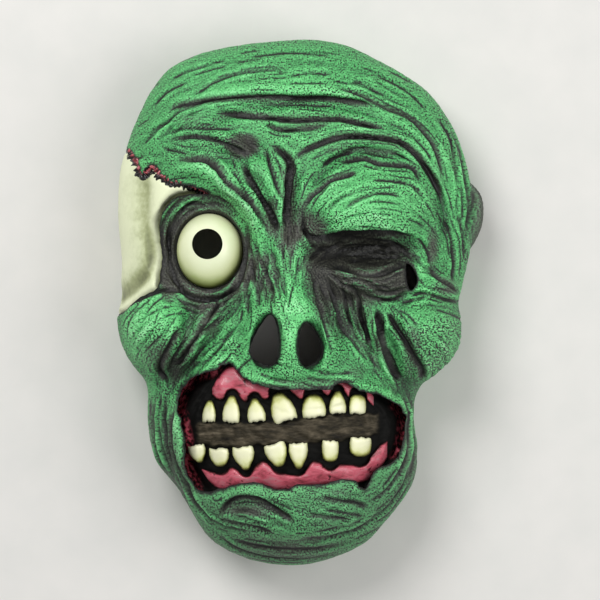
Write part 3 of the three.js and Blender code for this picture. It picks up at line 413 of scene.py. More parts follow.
JAWS = [
    (1.6, 1.3, [(-78, -34), (-80, -46), (-77, -60), (-67, -72), (-60, -78)]),
    (1.6, 1.3, [(-72, -34), (-74, -46), (-72, -58), (-66, -70), (-60, -80)]),
    (1.9, 1.4, [(-67, -38), (-69.5, -48), (-67.5, -60), (-63, -70), (-58, -76), (-52, -82)]),
    (1.2, 1.2, [(-81, -36), (-82, -48), (-79, -58)]),
    (1.2, 1.2, [(-75, -33), (-77, -47), (-74, -60), (-64, -74)]),
    (1.2, 1.2, [(-64, -66), (-59, -74), (-52, -80), (-44, -85)]),
    (1.3, 1.2, [(-56, -77), (-48, -82), (-36, -85), (-24, -86)]),
    (2.4, 1.7, [(-45, -81), (-38, -76), (-30, -74), (-20, -75.5), (-8, -80.5), (-2, -83)]),
    (1.8, 1.5, [(-45, -81), (-34, -83), (-24, -84), (-12, -86.5)]),
    (1.6, 1.4, [(-38, -89), (-26, -91), (-8, -92), (10, -92), (28, -90)]),
    (1.4, 1.3, [(2, -80), (16, -81), (28, -81.5)]),
    (1.6, 1.4, [(10, -73), (20, -75), (30, -76), (37, -78)]),
    (1.3, 1.2, [(-2, -88), (12, -88), (30, -85.5), (44, -80)]),
    (1.2, 1.2, [(-46, -87), (-34, -93), (-16, -96), (6, -96.5), (26, -93)]),
    (1.1, 1.1, [(12, -78.5), (24, -79.5), (36, -81)]),
    (1.3, 1.2, [(36, -76), (46, -72), (54, -64), (58, -54)]),
    (1.2, 1.2, [(34, -82), (46, -79), (56, -70), (60, -60)]),
    (2.0, 1.4, [(56, -36), (58.5, -44), (58.5, -54), (56, -62), (50, -70)]),
    (1.2, 1.1, [(62, -38), (61.5, -48), (62, -60), (58, -70)]),
]
FOLDS = FOREHEAD + BROWS + RIGHT_EYE + NOSE_AND_CHEEKS + LEFT_EYE + JAWS
BUNDLES = [  # count, depth, first line, last line
    (5, 0.9, [(12, 14.5), (20.5, 20), (33, 22), (48, 21), (57, 17), (63, 13.5)],
     [(14, 13.5), (24.5, 14.5), (33, 15.3), (43.5, 15.8), (53, 16.4)]),
    (6, 0.8, [(20, 12.4), (33, 10.2), (42, 10.8), (52, 12.6)],
     [(23, 6.6), (31, 3.1), (38, 0.5), (48, -0.6)]),
    (6, 1.0, [(8.3, 10.1), (7, 2.3), (13.3, -7.8), (21, -16.6)],
     [(21, 5), (24.5, -3.8), (31.5, -12.2), (39, -20)]),
    (4, 0.8, [(0, 34), (-2, 27), (3, 20), (10, 16)], [(1.5, 27), (6, 23.5), (14, 21), (22, 23)]),
    (4, 0.9, [(-44, 53), (-36, 46), (-26, 37), (-17, 25)],
     [(-28, 56), (-22, 46), (-14, 35), (-10, 25)]),
    (3, 0.7, [(-66, 57), (-56, 57), (-46, 54), (-38, 49)],
     [(-62, 52), (-55, 52), (-47, 50), (-42, 46)]),
    (5, 0.8, [(-21, 16), (-19, 8), (-17, -2), (-14, -8)], [(-4, 16), (-3, 8), (-4, 0), (-6, -6)]),
    (5, 0.8, [(-30, 26), (-26.5, 18), (-27, 8), (-33, 0)],
     [(-20, 24), (-17, 14), (-19, 4), (-25, -5)]),
    (4, 0.8, [(-28, 27), (-36, 37), (-47, 39.5), (-60, 38), (-70, 32), (-73.5, 22), (-74, 10)],
     [(-32, 29), (-40, 33.5), (-49, 35.5), (-59, 33), (-65.5, 27), (-68.5, 18), (-68, 8)]),
    (4, 0.8, [(-72, 9), (-66, 1.5), (-55, -2), (-45, -2), (-34, 3), (-28, 11)],
     [(-66, 8), (-59, 3), (-50, 1.5), (-42, 2.2), (-36, 6), (-31, 12)]),
    (4, 0.7, [(-47, -3), (-57, -11), (-66, -19), (-72, -27)],
     [(-41, -8), (-50, -14), (-59, -20), (-66, -27)]),
    (4, 0.6, [(-34, -6), (-42, -13), (-51, -19), (-60, -25)],
     [(-28, -12), (-36, -20), (-46, -26), (-56, -31)]),
    (4, 0.6, [(-79, -33), (-81, -46), (-77, -60), (-67, -72)],
     [(-69, -37), (-71, -48), (-68, -60), (-60, -72)]),
    (3, 0.8, [(-46, -79), (-34, -76), (-20, -76), (-4, -82)],
     [(-44, -82), (-34, -83), (-20, -84), (-4, -86)]),
    (4, 0.7, [(64, 22), (68, 18), (74, 12), (88, 6)], [(58, 10), (66, 5), (76, 3), (90, -1)]),
    (5, 0.7, [(79, 60), (83, 48), (84, 36), (81, 24)], [(93, 50), (94, 40), (93, 28), (90, 14)]),
    (3, 0.6, [(-16, 72), (0, 71.5), (16, 71), (30, 71)], [(-14, 69), (0, 68.5), (16, 68.5), (32, 68)]),
    (4, 0.6, [(-84, 62), (-74, 68), (-62, 73), (-48, 75)], [(-78, 58), (-70, 63), (-58, 66), (-46, 67)]),
    (5, 0.6, [(-80, 10), (-86, 4), (-94, -6), (-96, -16)], [(-62, -1), (-70, -10), (-78, -20), (-84, -28)]),
]

DEPTH_SHARE = 0.8
WIDTH_SHARE = 0.48
LEAST_WIDTH = 0.4
fold_rows = [(depth * DEPTH_SHARE, LEAST_WIDTH + half * WIDTH_SHARE, open_curve(placed(points), 5))
             for depth, half, points in FOLDS]
print(len(fold_rows), "drawn wrinkles")

# %% [markdown]
# Between the drawn wrinkles the real skin is covered with hundreds of fine ones. Most deep wrinkles
# have thinner companions beside them, and short lines creep along the same way everywhere else. For
# that, every drawn line pulls the creep direction of the skin near it towards its own. A fixed seed
# makes the same skin each time.

# %% The direction in which the skin creeps
COARSE = 8
coarse_x, coarse_y = PX[::COARSE, ::COARSE], PY[::COARSE, ::COARSE]
twice_cos = np.zeros(coarse_x.shape)
twice_sin = np.zeros(coarse_x.shape)
for depth, half, path in fold_rows:
    for (ax, ay), (bx, by) in zip(path[::2], path[2::2]):
        weight = np.hypot(bx - ax, by - ay) * depth
        weight = weight / ((coarse_x - (ax + bx) / 2) ** 2 + (coarse_y - (ay + by) / 2) ** 2 + 9) ** 1.6
        direction = 2 * math.atan2(by - ay, bx - ax)
        twice_cos += weight * math.cos(direction)
        twice_sin += weight * math.sin(direction)
strength = np.hypot(twice_cos, twice_sin)


def refine(coarse):
    """A coarse raster brought to the full raster."""
    i = np.arange(PX.shape[1]) / COARSE
    j = np.arange(PX.shape[0]) / COARSE
    wide = np.stack([np.interp(i, np.arange(coarse.shape[1]), row) for row in coarse])
    return np.stack([np.interp(j, np.arange(coarse.shape[0]), column) for column in wide.T], 1)


creep_cos = refine(twice_cos / strength)
creep_sin = refine(twice_sin / strength)
creep = 0.5 * np.arctan2(creep_sin, creep_cos)


def creeping_line(x, y, length, step=1.6):
    """A line that follows the creep direction both ways from a point."""
    halves = []
    for way in (1, -1):
        px, py, heading = x, y, None
        half_line = []
        for _ in range(int(length / 2 / step)):
            turn_to = float(sample(creep, np.array([px]), np.array([py]))[0])
            if heading is None:
                heading = turn_to + (math.pi if way < 0 else 0)
            elif math.cos(turn_to - heading) < 0:
                heading = turn_to + math.pi
            else:
                heading = turn_to
            px, py = px + step * math.cos(heading), py + step * math.sin(heading)
            half_line.append((px, py))
        halves.append(half_line)
    return np.array(halves[1][::-1] + [(x, y)] + halves[0])


# %% Companions and creeping lines
CREEPING_LINES = 360
fine_rows = []
for depth, half, path in fold_rows:
    for way in (1, -1):
        if len(path) < 12 or depth < 0.85 or rng.random() < 0.25:
            continue
        first = int(len(path) * rng.uniform(0.0, 0.3))
        last = int(len(path) * rng.uniform(0.65, 1.0))
        kept = path[first:last]
        step = np.gradient(kept, axis=0)
        aside = np.stack([-step[:, 1], step[:, 0]], 1) / np.hypot(*step.T)[:, None]
        sway = rng.uniform(2.0, 3.6) + 0.5 * np.sin(np.arange(len(kept)) * rng.uniform(0.3, 0.7))
        fine_rows.append((rng.uniform(0.35, 0.7), 0.75, kept + way * aside * sway[:, None]))
for count, depth, first, last in BUNDLES:
    first, last = (open_curve(placed(points), 24 // (len(points) - 1)) for points in (first, last))
    stops = np.linspace(0, 1, 24)
    first, last = (np.stack([np.interp(stops, np.linspace(0, 1, len(path)), path[:, k])
                             for k in (0, 1)], 1) for path in (first, last))
    for share in (np.arange(count) + 0.5) / count:
        swayed = share + rng.uniform(-0.25, 0.25) / count + 0.3 / count * np.sin(stops * 9 + share * 40)
        path = first * (1 - swayed[:, None]) + last * swayed[:, None]
        begin, end = rng.integers(0, 7), rng.integers(18, 25)
        fine_rows.append((depth * rng.uniform(0.7, 1.2), 0.75, path[begin:end]))
for _ in range(CREEPING_LINES):
    x = rng.uniform(-0.98, 0.98) * HALF_WIDTH
    y = rng.uniform(-0.98, 0.98) * HALF_HEIGHT
    line = creeping_line(x, y, rng.uniform(9, 26))
    fine_rows.append((rng.uniform(0.25, 0.55), 0.65, line))

LINE_REACH = 2.2
folds = np.zeros(PX.shape)
groove = np.zeros(PX.shape)
closest = np.full(PX.shape, LINE_REACH)
next_closest = np.full(PX.shape, LINE_REACH)
line_side = np.full(PX.shape, LINE_REACH)
line_depth = np.zeros(PX.shape)
for depth, half, path in fold_rows + fine_rows:
    part = raster_part(path, max(half * 4, LINE_REACH))
    away, along, side = distance_to(path, PX[part], PY[part])
    ends = smooth_step(0, 0.2, along) * smooth_step(0, 0.2, 1 - along)
    cut = np.exp(-(away / half) ** 2)
    lips = 0.32 * np.exp(-((away - 2.1 * half) / half) ** 2)
    folds[part] += depth * ends * (lips - cut)
    soft = np.exp(-(away / (1.6 * half)) ** 2) * smooth_step(0.5, 2.4, depth)
    groove[part] = np.maximum(groove[part], ends * soft)
    closer = away < closest[part]
    next_closest[part] = np.where(closer, closest[part], np.minimum(next_closest[part], away))
    line_side[part] = np.where(closer, side * away, line_side[part])
    line_depth[part] = np.where(closer, min(1.0, 0.3 + depth / 2.2) * ends, line_depth[part])
    closest[part] = np.minimum(closest[part], away)
line_strength = line_depth * smooth_step(LINE_REACH, 0.6 * LINE_REACH, closest)
line_strength = line_strength * smooth_step(0.5, 2.2, next_closest - closest)
print(len(fold_rows) + len(fine_rows), "wrinkles,", round(-folds.min(), 1), "mm at the deepest")

# %% Fine wrinkles and pebbles
frequency_x = np.fft.rfftfreq(PX.shape[1], STEP)
frequency_y = np.fft.fftfreq(PX.shape[0], STEP)
frequency = np.hypot(*np.meshgrid(frequency_x, frequency_y))


def blur(field, radius):
    """A field blurred over a radius in millimetres."""
    soft = np.exp(-2 * (math.pi * radius * frequency) ** 2)
    return np.fft.irfft2(np.fft.rfft2(field) * soft, s=field.shape)


def even(field):
    return (field - field.mean()) / field.std()


def combed(grain, half_length, steps):
    """Grain smeared along the creep direction."""
    total = grain.copy()
    for way in (1, -1):
        x, y = PX.copy(), PY.copy()
        turn_cos, turn_sin = np.cos(creep) * way, np.sin(creep) * way
        for step in range(steps):
            x += turn_cos * half_length / steps
            y += turn_sin * half_length / steps
            new = sample(creep, x, y)
            flip = np.where(np.cos(new) * turn_cos + np.sin(new) * turn_sin < 0, -1, 1)
            turn_cos, turn_sin = np.cos(new) * flip, np.sin(new) * flip
            total += sample(grain, x, y)
    return total


grain = rng.standard_normal(PX.shape)
streaks = even(combed(even(blur(grain, 0.9) - blur(grain, 2.6)), 12.0, 12))
fine_streaks = even(combed(even(blur(grain[::-1], 0.45) - blur(grain[::-1], 1.1)), 5.0, 8))
pebbles = even(blur(grain[:, ::-1], 0.7) - blur(grain[:, ::-1], 1.6))
lumps = even(blur(grain[::-1, ::-1], 3.0) - blur(grain[::-1, ::-1], 8.0))
print("streaks reach", streaks.min().round(1), "to", streaks.max().round(1))

# %% [markdown]
# The skin has openings with torn edges. Each is an outline on the pattern. A cut latex edge is soft
# and slightly thinned, so the skin sinks a little towards every outline, and the mouth's edge is
# lumpy.

# %% Outlines of the openings
SKULL_WINDOW = [
    (-118, 56), (-97, 58), (-90, 54), (-85, 47), (-80, 51), (-72, 45), (-60, 43), (-52, 41),
    (-49, 39.6), (-58, 40), (-66, 38.6), (-71, 36), (-74, 32.5), (-75.8, 27), (-75, 21), (-74.4, 15.5),
    (-75.5, 8), (-77.5, 4), (-83, 2), (-90, -1), (-98, -5), (-118, -7),
]
MOUTH_WINDOW = [
    (-39, -24), (-35, -25.5), (-30, -28.5), (-25, -31), (-18, -32.5), (-10, -33), (2, -33.5),
    (9, -33.5), (17, -33), (20, -31), (26, -31.5), (31, -33.5), (38, -35), (44, -36), (51, -39),
    (56, -42.5), (57, -47.5), (54, -56), (51, -60.5), (41, -63.5), (38, -66.5), (36, -71),
    (33, -70.5), (29, -67.5), (20, -67.5), (11, -69), (0, -69), (-7, -70.5), (-14, -70.5),
    (-21, -68.5), (-33, -69), (-42, -71), (-53, -72.5), (-58, -69), (-61.5, -64), (-61.5, -56),
    (-62.5, -50), (-64.5, -43.5), (-65.5, -38), (-62, -32.5), (-55.5, -28.5), (-46, -26.5),
]
LEFT_NOSTRIL = [(-15.9, -5.5), (-20.5, -9), (-24.5, -14), (-26.5, -19), (-24, -22.5), (-16, -24.5),
                (-12, -22), (-11.5, -15.5), (-12.5, -9)]
RIGHT_NOSTRIL = [(2.6, -8.5), (-0.5, -13.5), (-0.5, -21), (3, -24.5), (8.5, -23), (11.5, -19.5),
                 (10.5, -15), (7, -10.5)]
SIGHT_SLIT = [(57, 13.5), (60.5, 12), (63, 7.5), (59.5, 3.5), (57, 7.5)]
EYE_WIDTH, EYE_HEIGHT = 36.0, 41.0
EYE_CENTRE = placed([(-48.5, 18.5)])[0]
PUPIL_CENTRE = placed([(-49.5, 21)])[0]
PUPIL_WIDTH = 16.5


def ragged(points, steps, roughness):
    """A closed outline with small random dents."""
    path = closed_curve(placed(points), steps)
    size = len(path)
    noise = rng.standard_normal(size)
    soft = (np.roll(noise, 1) + noise * 2 + np.roll(noise, -1)) / 4
    along = np.roll(path, -1, axis=0) - np.roll(path, 1, axis=0)
    normal = np.stack([along[:, 1], -along[:, 0]], 1) / np.hypot(*along.T)[:, None]
    return path + normal * (soft * roughness)[:, None]


mouth_path = ragged(MOUTH_WINDOW, 6, 0.55)
skull_path = ragged(SKULL_WINDOW, 8, 0.25)
left_nostril_path = ragged(LEFT_NOSTRIL, 6, 0.12)
right_nostril_path = ragged(RIGHT_NOSTRIL, 6, 0.12)
slit_path = closed_curve(placed(SIGHT_SLIT), 6)
turn = np.linspace(0, 2 * math.pi, 97)[:-1]
eye_path = EYE_CENTRE + np.stack([np.cos(turn) * (EYE_WIDTH / 2 + FIT_GAP),
                                  np.sin(turn) * (EYE_HEIGHT / 2 + FIT_GAP)], 1)


def inside(path, x, y):
    """Whether points lie inside a closed outline."""
    odd = np.zeros(x.shape, bool)
    for (ax, ay), (bx, by) in zip(path, np.roll(path, -1, axis=0)):
        crosses = (ay > y) != (by > y)
        if ay != by:
            odd ^= crosses & (x < ax + (y - ay) * (bx - ax) / (by - ay))
    return odd


def distance_field(path, reach):
    """On the raster: the distance to a closed outline, less than zero inside, up to a reach."""
    field = np.full(PX.shape, float(reach))
    part = raster_part(path, reach)
    closed = np.vstack([path, path[:1]])
    away = np.minimum(distance_to(closed, PX[part], PY[part])[0], reach)
    field[part] = np.where(inside(path, PX[part], PY[part]), -away, away)
    return field


from_mouth = distance_field(mouth_path, 16)
from_skull = distance_field(skull_path, 14)
from_eye = distance_field(eye_path, 16)
from_nostrils = np.minimum(distance_field(left_nostril_path, 10),
                           distance_field(right_nostril_path, 10))
from_slit = distance_field(slit_path, 6)
from_edge = np.abs(np.stack([from_mouth, from_skull, from_nostrils, from_slit])).min(0)
print("openings outlined:", len(mouth_path), "points round the mouth")

# %% [markdown]
# The paint is worked out from the relief, as a painter's hand would leave it: high spots get the
# bright green, low spots keep the dark wash. A few places were washed darker or brushed brighter, and
# those are ellipses on the pattern. Shade is painted in as well: the big forms are painted lighter on
# their rises and darker in their hollows, painted shadow rings the bulging eye and lies under it and
# on the side flap, and the skin is painted duller and darker towards the chin and the lower right cheek.

# %% Where the paint lies
# Two of these are painted shadow: the one under the eyeball's lower right, at -28, 11, and the one on the
# side flap, at 104, 35.
DARK_FIELDS = [  # x, y, rx, ry, amount
    (33, 12, 34, 15.5, 0.95), (12, 12, 13, 20, 0.45), (104, 35, 13, 20, 1.0), (19, -4, 12, 14, 0.35),
    (-56, 17.5, 20, 18, 0.95), (0, 30, 8, 9, 0.5), (-31, 58, 11, 5.5, 0.95), (-70.5, 14, 8, 17, 0.95),
    (-28, 11, 6, 5.5, 0.9), (-15, 31, 5, 9, 0.7), (50, 7, 12, 6.5, 0.8),
]
DARK_WASHES = [
    (40, 21, 30, 5, 0.5), (71.5, 20, 4.5, 10, 0.9),
    (0, 66, 18, 2.4, 0.5), (-6, 44, 6.5, 15, 0.9), (-50, -1, 20, 5, 0.5),
    (-50, -8, 12, 9, 0.7), (-60, -18, 10, 10, 0.7), (-67, -26, 9, 9, 0.6), (-75, -20, 10, 9, 0.85),
    (34, -8, 8, 13, 0.5), (42, -18, 6, 12, 0.4), (60, -17, 7, 11, 0.85), (27, 3, 11, 9, 0.3),
    (-5, 23, 12, 8, 0.75), (8, 27, 9, 8, 0.8), (15, 14, 9, 9, 0.75), (-2, -31.5, 34, 3, 0.5),
    (-28, -79, 20, 3.6, 0.75), (-10, -93.5, 42, 6, 0.5), (62, -62, 7, 16, 0.4),
    (-20, 15, 8, 3.5, 0.7), (-17, 7, 11, 10, 0.6), (-6, 24, 6, 14, 0.5), (10, -2, 5, 8, 0.3),
    (-33, 4, 8, 7, 0.4), (-22, 46, 5, 7, 0.35),
    (44, 56, 16, 2.5, 0.35), (22, 57, 14, 2.5, 0.35), (-80, 47, 6, 6, 0.5),
    (78, 5, 10, 5, 0.85), (74, 47, 5, 9, 0.35), (-60, 68, 12, 4, 0.2), (20, -72, 10, 2, 0.3),
    (-70, -55, 4, 18, 0.35), (56, -50, 3, 14, 0.3), (12, -83, 12, 3, 0.3), (30, -27, 8, 4, 0.3),
]
BRIGHT_BRUSHES = [
    (-40, 47, 15, 6, 0.7), (-26, 37, 8, 8, 0.5), (34, 31, 30, 5.5, 0.8), (-86, -8, 13, 11, 0.6),
    (-78, 0, 14, 4, 0.5), (0, 82, 45, 9, 0.4), (-40, 80, 24, 7, 0.4), (10, 76, 24, 3, 0.3),
    (-1, -2, 13, 7, 0.8), (-6, -16, 4, 9, 0.4), (-46, -21.5, 14, 3.5, 0.7), (-35, -17, 9, 6, 0.5),
    (66, 0, 12, 3, 0.4), (75, -14, 14, 12, 0.3), (20, -27.5, 12, 2.5, 0.5), (28, 66, 22, 4, 0.3),
    (-21, 23.5, 5, 5, 0.9), (-26, 28, 6, 5.5, 0.9), (-32, 32.5, 6, 5.5, 0.9), (-38, 37, 6, 5, 0.8),
    (64.5, 10.5, 5, 4, 1.0), (-2, 61, 14, 3, 0.4), (60, 58, 10, 5, 0.3), (44, 47, 14, 2.5, 0.3),
    (25, -15, 12, 6, 0.35),
    (-55, 67, 10, 3, 0.3), (4, 10, 6, 6, 0.35), (-62, 57, 8, 2.5, 0.3),
    (-30, -70.5, 22, 2.5, 0.4), (20, -72, 20, 2.5, 0.3), (44, -66, 6, 5, 0.35),
    (86, 38, 10, 24, 0.7), (76, 52, 8, 12, 0.4),
]


def patches(rows, edge):
    return sum(swelling(PX, PY, *row, edge) for row in rows) * 100 / DOME_HEIGHT


eye_side = np.arctan2(PY - EYE_CENTRE[1], PX - EYE_CENTRE[0])
lid_width = 8.5 - 6.5 * np.exp(-((eye_side - 0.6) / 0.7) ** 2)
eye_shadow = np.where(from_eye > 0, np.exp(-(from_eye / lid_width) ** 2), 1)
# This mask holds the dark washes, and also painted shadow: the ring round the eye and the shadow fields.
washed_and_shaded = np.clip(patches(DARK_FIELDS, 5) + patches(DARK_WASHES, 2.2) + 0.8 * eye_shadow, 0, 1)
washed_and_shaded = 1 - (1 - washed_and_shaded) * (1 - 0.75 * groove)
brushed = np.clip(patches(BRIGHT_BRUSHES, 1.8), 0, 1)
on_front = smooth_step(1.0, 0.86, np.hypot(PX, PY) / edge_at(np.arctan2(PY, PX))[0])
grain_relief = 0.12 * streaks + 0.10 * pebbles * (1 - washed_and_shaded) + 0.06 * fine_streaks
fine = folds + grain_relief * (0.4 + 0.6 * on_front)
fine = fine + 0.22 * lumps * on_front
sunk = np.clip(1 - from_edge / 1.8, 0, 1)
fine = fine - 1.1 * sunk ** 2 + 0.45 * lumps * np.clip(1 - np.abs(from_mouth) / 5, 0, 1)
fine = fine + 1.3 * np.exp(-((from_eye - 2.4) / 1.7) ** 2)
fine = np.maximum(fine, -(SKIN_WALL - 0.8) - (large - lowest))
crest = fine - blur(fine, 2.4)
# Painted light and shade of the big forms: their rises are painted lighter and their hollows darker.
form_shading = large - blur(large, 8.0)
paint = 0.615 + 0.20 * np.clip(crest, -2.0, 1.5) + 0.03 * np.clip(form_shading, -5, 4)
paint = paint + 0.13 * brushed - 0.16 * washed_and_shaded - 0.10 * groove - 0.10 * patches(DARK_FIELDS, 5)
paint = paint - 0.25 * sunk + 0.10 * np.clip(1 - np.abs(from_mouth - 3) / 2.5, 0, 1)
# Painted shadow: a thin dark line where the skin meets the eyeball.
paint = paint - 0.3 * np.exp(-(np.maximum(from_eye, 0) / 1.2) ** 2)
SMOOTH_PLACES = [(-62, 84, 44, 24, 0.8), (34, 36, 26, 5, 0.4), (-30, 46, 12, 6, 0.4),
                 (84, 30, 12, 26, 0.5), (-88, 8, 12, 10, 0.3), (-76, 66, 20, 12, 0.4)]
PITTED_PLACES = [(-70, -18, 20, 14, 0.6), (70, -18, 24, 20, 0.8), (30, 30, 42, 6, 0.6),
                 (0, -80, 70, 16, 0.4), (-4, -22, 40, 12, 0.4), (0, 74, 60, 8, 0.4),
                 (-50, 60, 24, 8, 0.4), (-6, 2, 14, 12, 0.4)]
pitted = 0.45 + 0.2 * lumps - patches(SMOOTH_PLACES, 2.2) + patches(PITTED_PLACES, 2.2)
pitted = np.clip(pitted, -0.2, 1.3)
# Partly a duller paint, partly painted shade: the skin is painted duller and darker towards the chin, over
# the lower right cheek and where it is washed or shaded.
dull_and_shaded = smooth_step(-30, -62, PY * 100 / HALF_HEIGHT) * 0.75
dull_and_shaded = dull_and_shaded + 0.25 * swelling(PX, PY, 66, -20, 34, 30, 100 / DOME_HEIGHT, 2)
dull_and_shaded = np.clip(dull_and_shaded + 0.3 * washed_and_shaded, 0, 1)
print("paint runs from", np.percentile(paint, 2).round(2), "to", np.percentile(paint, 98).round(2))

# %% [markdown]
# Small helpers carry meshes between Blender and numpy. A slab is a grid that bmesh extrudes once and
# closes, and every point then moves to its place on the mask.

# %% Helpers for the pieces
def new_piece(name, bm):
    mesh = bpy.data.meshes.new(name)
    bm.to_mesh(mesh)
    bm.free()
    piece = bpy.data.objects.new(name, mesh)
    bpy.context.scene.collection.objects.link(piece)
    return piece


def read_points(piece):
    points = np.empty(len(piece.data.vertices) * 3)
    piece.data.vertices.foreach_get("co", points)
    return points.reshape(-1, 3)


def write_points(piece, points):
    piece.data.vertices.foreach_set("co", (np.asarray(points) / 1000).ravel())
    piece.data.update()


def note_value(piece, name, values):
    """A number at every point of a piece, for its material to read."""
    attribute = piece.data.attributes.new(name, "FLOAT", "POINT")
    attribute.data.foreach_set("value", np.ascontiguousarray(values, np.float32))


def slab(name, columns, rows, place):
    """A closed slab. place takes u and v from -1 to 1 and w, which is 0 behind and 1 in front."""
    bm = bmesh.new()
    bmesh.ops.create_grid(bm, x_segments=columns, y_segments=rows, size=1)
    lifted = bmesh.ops.extrude_face_region(bm, geom=bm.faces[:])["geom"]
    raised = [part for part in lifted if isinstance(part, bmesh.types.BMVert)]
    bmesh.ops.translate(bm, verts=raised, vec=(0, 0, 1))
    bmesh.ops.recalc_face_normals(bm, faces=bm.faces[:])
    piece = new_piece(name, bm)
    u, v, w = read_points(piece).T
    write_points(piece, place(u, v, w))
    return piece, u, v, w


def disc(u, v):
    """A square drawn in to a round disc: the reach from the middle, and the angle."""
    p, q = u * np.sqrt(1 - v * v / 2), v * np.sqrt(1 - u * u / 2)
    return np.minimum(1, np.hypot(p, q)), np.arctan2(q, p)


def report_piece(piece):
    bm = bmesh.new()
    bm.from_mesh(piece.data)
    open_edges = sum(1 for edge in bm.edges if not edge.is_manifold)
    triangles = sum(len(face.verts) - 2 for face in bm.faces)
    bm.free()
    print(piece.name, triangles, "triangles,", open_edges, "open edges")
def dress(piece, latex):
    """Gives a piece its latex and smooth shading."""
    piece.data.materials.append(latex)
    piece.data.shade_smooth()
    report_piece(piece)

# %% [markdown]
# The skin itself is one fine grid, drawn in to a disc, bent over the dome and pushed out by the fine
# relief. Its square edge becomes the rim of the open back and is closed with one flat face. A
# coarser, smoother body of the same kind is then cut out of it, which leaves the latex wall.

# %% The filled mask and its hollow
RIM_SHARE = 0.90


def mask_points(u, v, relief, inset, floor, spread_more):
    """The surface of the whole mask over a square grid, and the points of the pattern it lies on."""
    reach, angle = disc(u, v)
    radius, tuck, turn = edge_at(angle)
    front = np.minimum(1, reach / RIM_SHARE)
    spread = front + spread_more * front * (1 - front)
    down = np.clip((reach - RIM_SHARE) / (1 - RIM_SHARE), 0, 1)
    distance = radius * spread + turn * down
    x, y = distance * np.cos(angle), distance * np.sin(angle)
    points = off_mask(x, y, relief, np.full(x.shape, -inset))
    at_rim = reach > 0.9995
    out = (radius - tuck - inset)[at_rim]
    points[at_rim] = np.stack([out * np.cos(angle[at_rim]), out * np.sin(angle[at_rim]),
                               np.full(out.shape, floor)], 1)
    return points, x, y, down, at_rim


def closed_bowl(name, columns, rows, place):
    """A grid whose border is closed with one face, moved to its place."""
    bm = bmesh.new()
    bmesh.ops.create_grid(bm, x_segments=columns, y_segments=rows, size=1)
    border = [edge for edge in bm.edges if edge.is_boundary]
    bmesh.ops.edgeloop_fill(bm, edges=border)
    bmesh.ops.recalc_face_normals(bm, faces=bm.faces[:])
    bm.faces.ensure_lookup_table()
    if bm.faces[0].normal.z < 0:
        bmesh.ops.reverse_faces(bm, faces=bm.faces[:])
    piece = new_piece(name, bm)
    u, v, w = read_points(piece).T
    points, *rest = place(u, v)
    write_points(piece, points)
    return piece, rest


def skin_place(u, v):
    points, x, y, down, at_rim = mask_points(u, v, large, 0.0, 0.0, 0.12)
    shown = (1 - smooth_step(0.55, 1.0, down)) * ~at_rim
    points = points + outward(x, y, large) * (sample(fine, x, y) * shown)[:, None]
    points[:, 2] = np.maximum(points[:, 2], 0)
    return points, x, y


skin, (skin_x, skin_y) = closed_bowl("skin", 272, 320, skin_place)
skin_fields = {"paint": paint, "pitted": pitted, "line_strength": line_strength, "washed_and_shaded": washed_and_shaded,
               "dull_and_shaded": dull_and_shaded, "creep_cos": creep_cos, "creep_sin": creep_sin}
skin_notes = {name: sample(field, skin_x, skin_y) for name, field in skin_fields.items()}
skin_notes["line_side"] = sample_nearest(line_side, skin_x, skin_y)
skin_notes["pattern_x"] = skin_x
skin_notes["pattern_y"] = skin_y
for name, values in skin_notes.items():
    note_value(skin, name, values)


def hollow_place(u, v):
    return mask_points(u, v, lowest, SKIN_WALL, -4.0, 0.35)


hollow = closed_bowl("hollow", 60, 74, hollow_place)[0]
report_piece(skin)
report_piece(hollow)

# %% [markdown]
# The openings are cut with the Boolean modifier, with its exact solver, so that the painted values
# stay at the points. Mouth, nostrils, slit and eye are cut straight back. The skull patch runs over
# the side of the head, so its cutters stand square to the wall. All are joined to one cutter, and
# for it the solver's way for meshes that cross themselves is on. Without that way the skin is lost.

# %% Cutters for the openings
def straight_cutter(name, path, low=18.0, high=140.0):
    bm = bmesh.new()
    corners = [bm.verts.new((x, y, low)) for x, y in path]
    floor = bm.faces.new(corners)
    lifted = bmesh.ops.extrude_face_region(bm, geom=[floor])["geom"]
    raised = [part for part in lifted if isinstance(part, bmesh.types.BMVert)]
    bmesh.ops.translate(bm, verts=raised, vec=(0, 0, high - low))
    bmesh.ops.recalc_face_normals(bm, faces=bm.faces[:])
    cutter = new_piece(name, bm)
    write_points(cutter, read_points(cutter))
    return cutter


flat = np.zeros(PX.shape)


def ray_reach(path, middle, angle):
    """How far a closed outline lies from its middle in each direction."""
    farthest = np.zeros(angle.shape)
    ux, uy = np.cos(angle), np.sin(angle)
    for a, b in zip(path, np.roll(path, -1, axis=0)):
        (px, py), (dx, dy) = a - middle, b - a
        turned = ux * dy - uy * dx
        turned = np.where(np.abs(turned) < 1e-9, 1e-9, turned)
        ray = (px * dy - py * dx) / turned
        share = (px * uy - py * ux) / turned
        farthest = np.where((share >= 0) & (share <= 1), np.maximum(farthest, ray), farthest)
    return farthest


def skull_cutter(name, path, middle):
    """A cutter for a part of the skull window, whose whole outline can be seen from one middle."""
    def place(u, v, w):
        reach, angle = disc(u, v)
        out = reach * ray_reach(path, middle, angle)
        x, y = middle[0] + out * np.cos(angle), middle[1] + out * np.sin(angle)
        around = np.arctan2(y, x)
        side = smooth_step(SIDE_START, 1, np.hypot(x, y) / edge_at(around)[0])
        square = np.stack([side * np.cos(around), side * np.sin(around), 1 - side], 1)
        square = square / np.linalg.norm(square, axis=1, keepdims=True)
        return on_mask(x, y, flat) + square * np.where(w > 0.5, 28.0, -14.0)[:, None]
    return slab(name, 64, 64, place)[0]


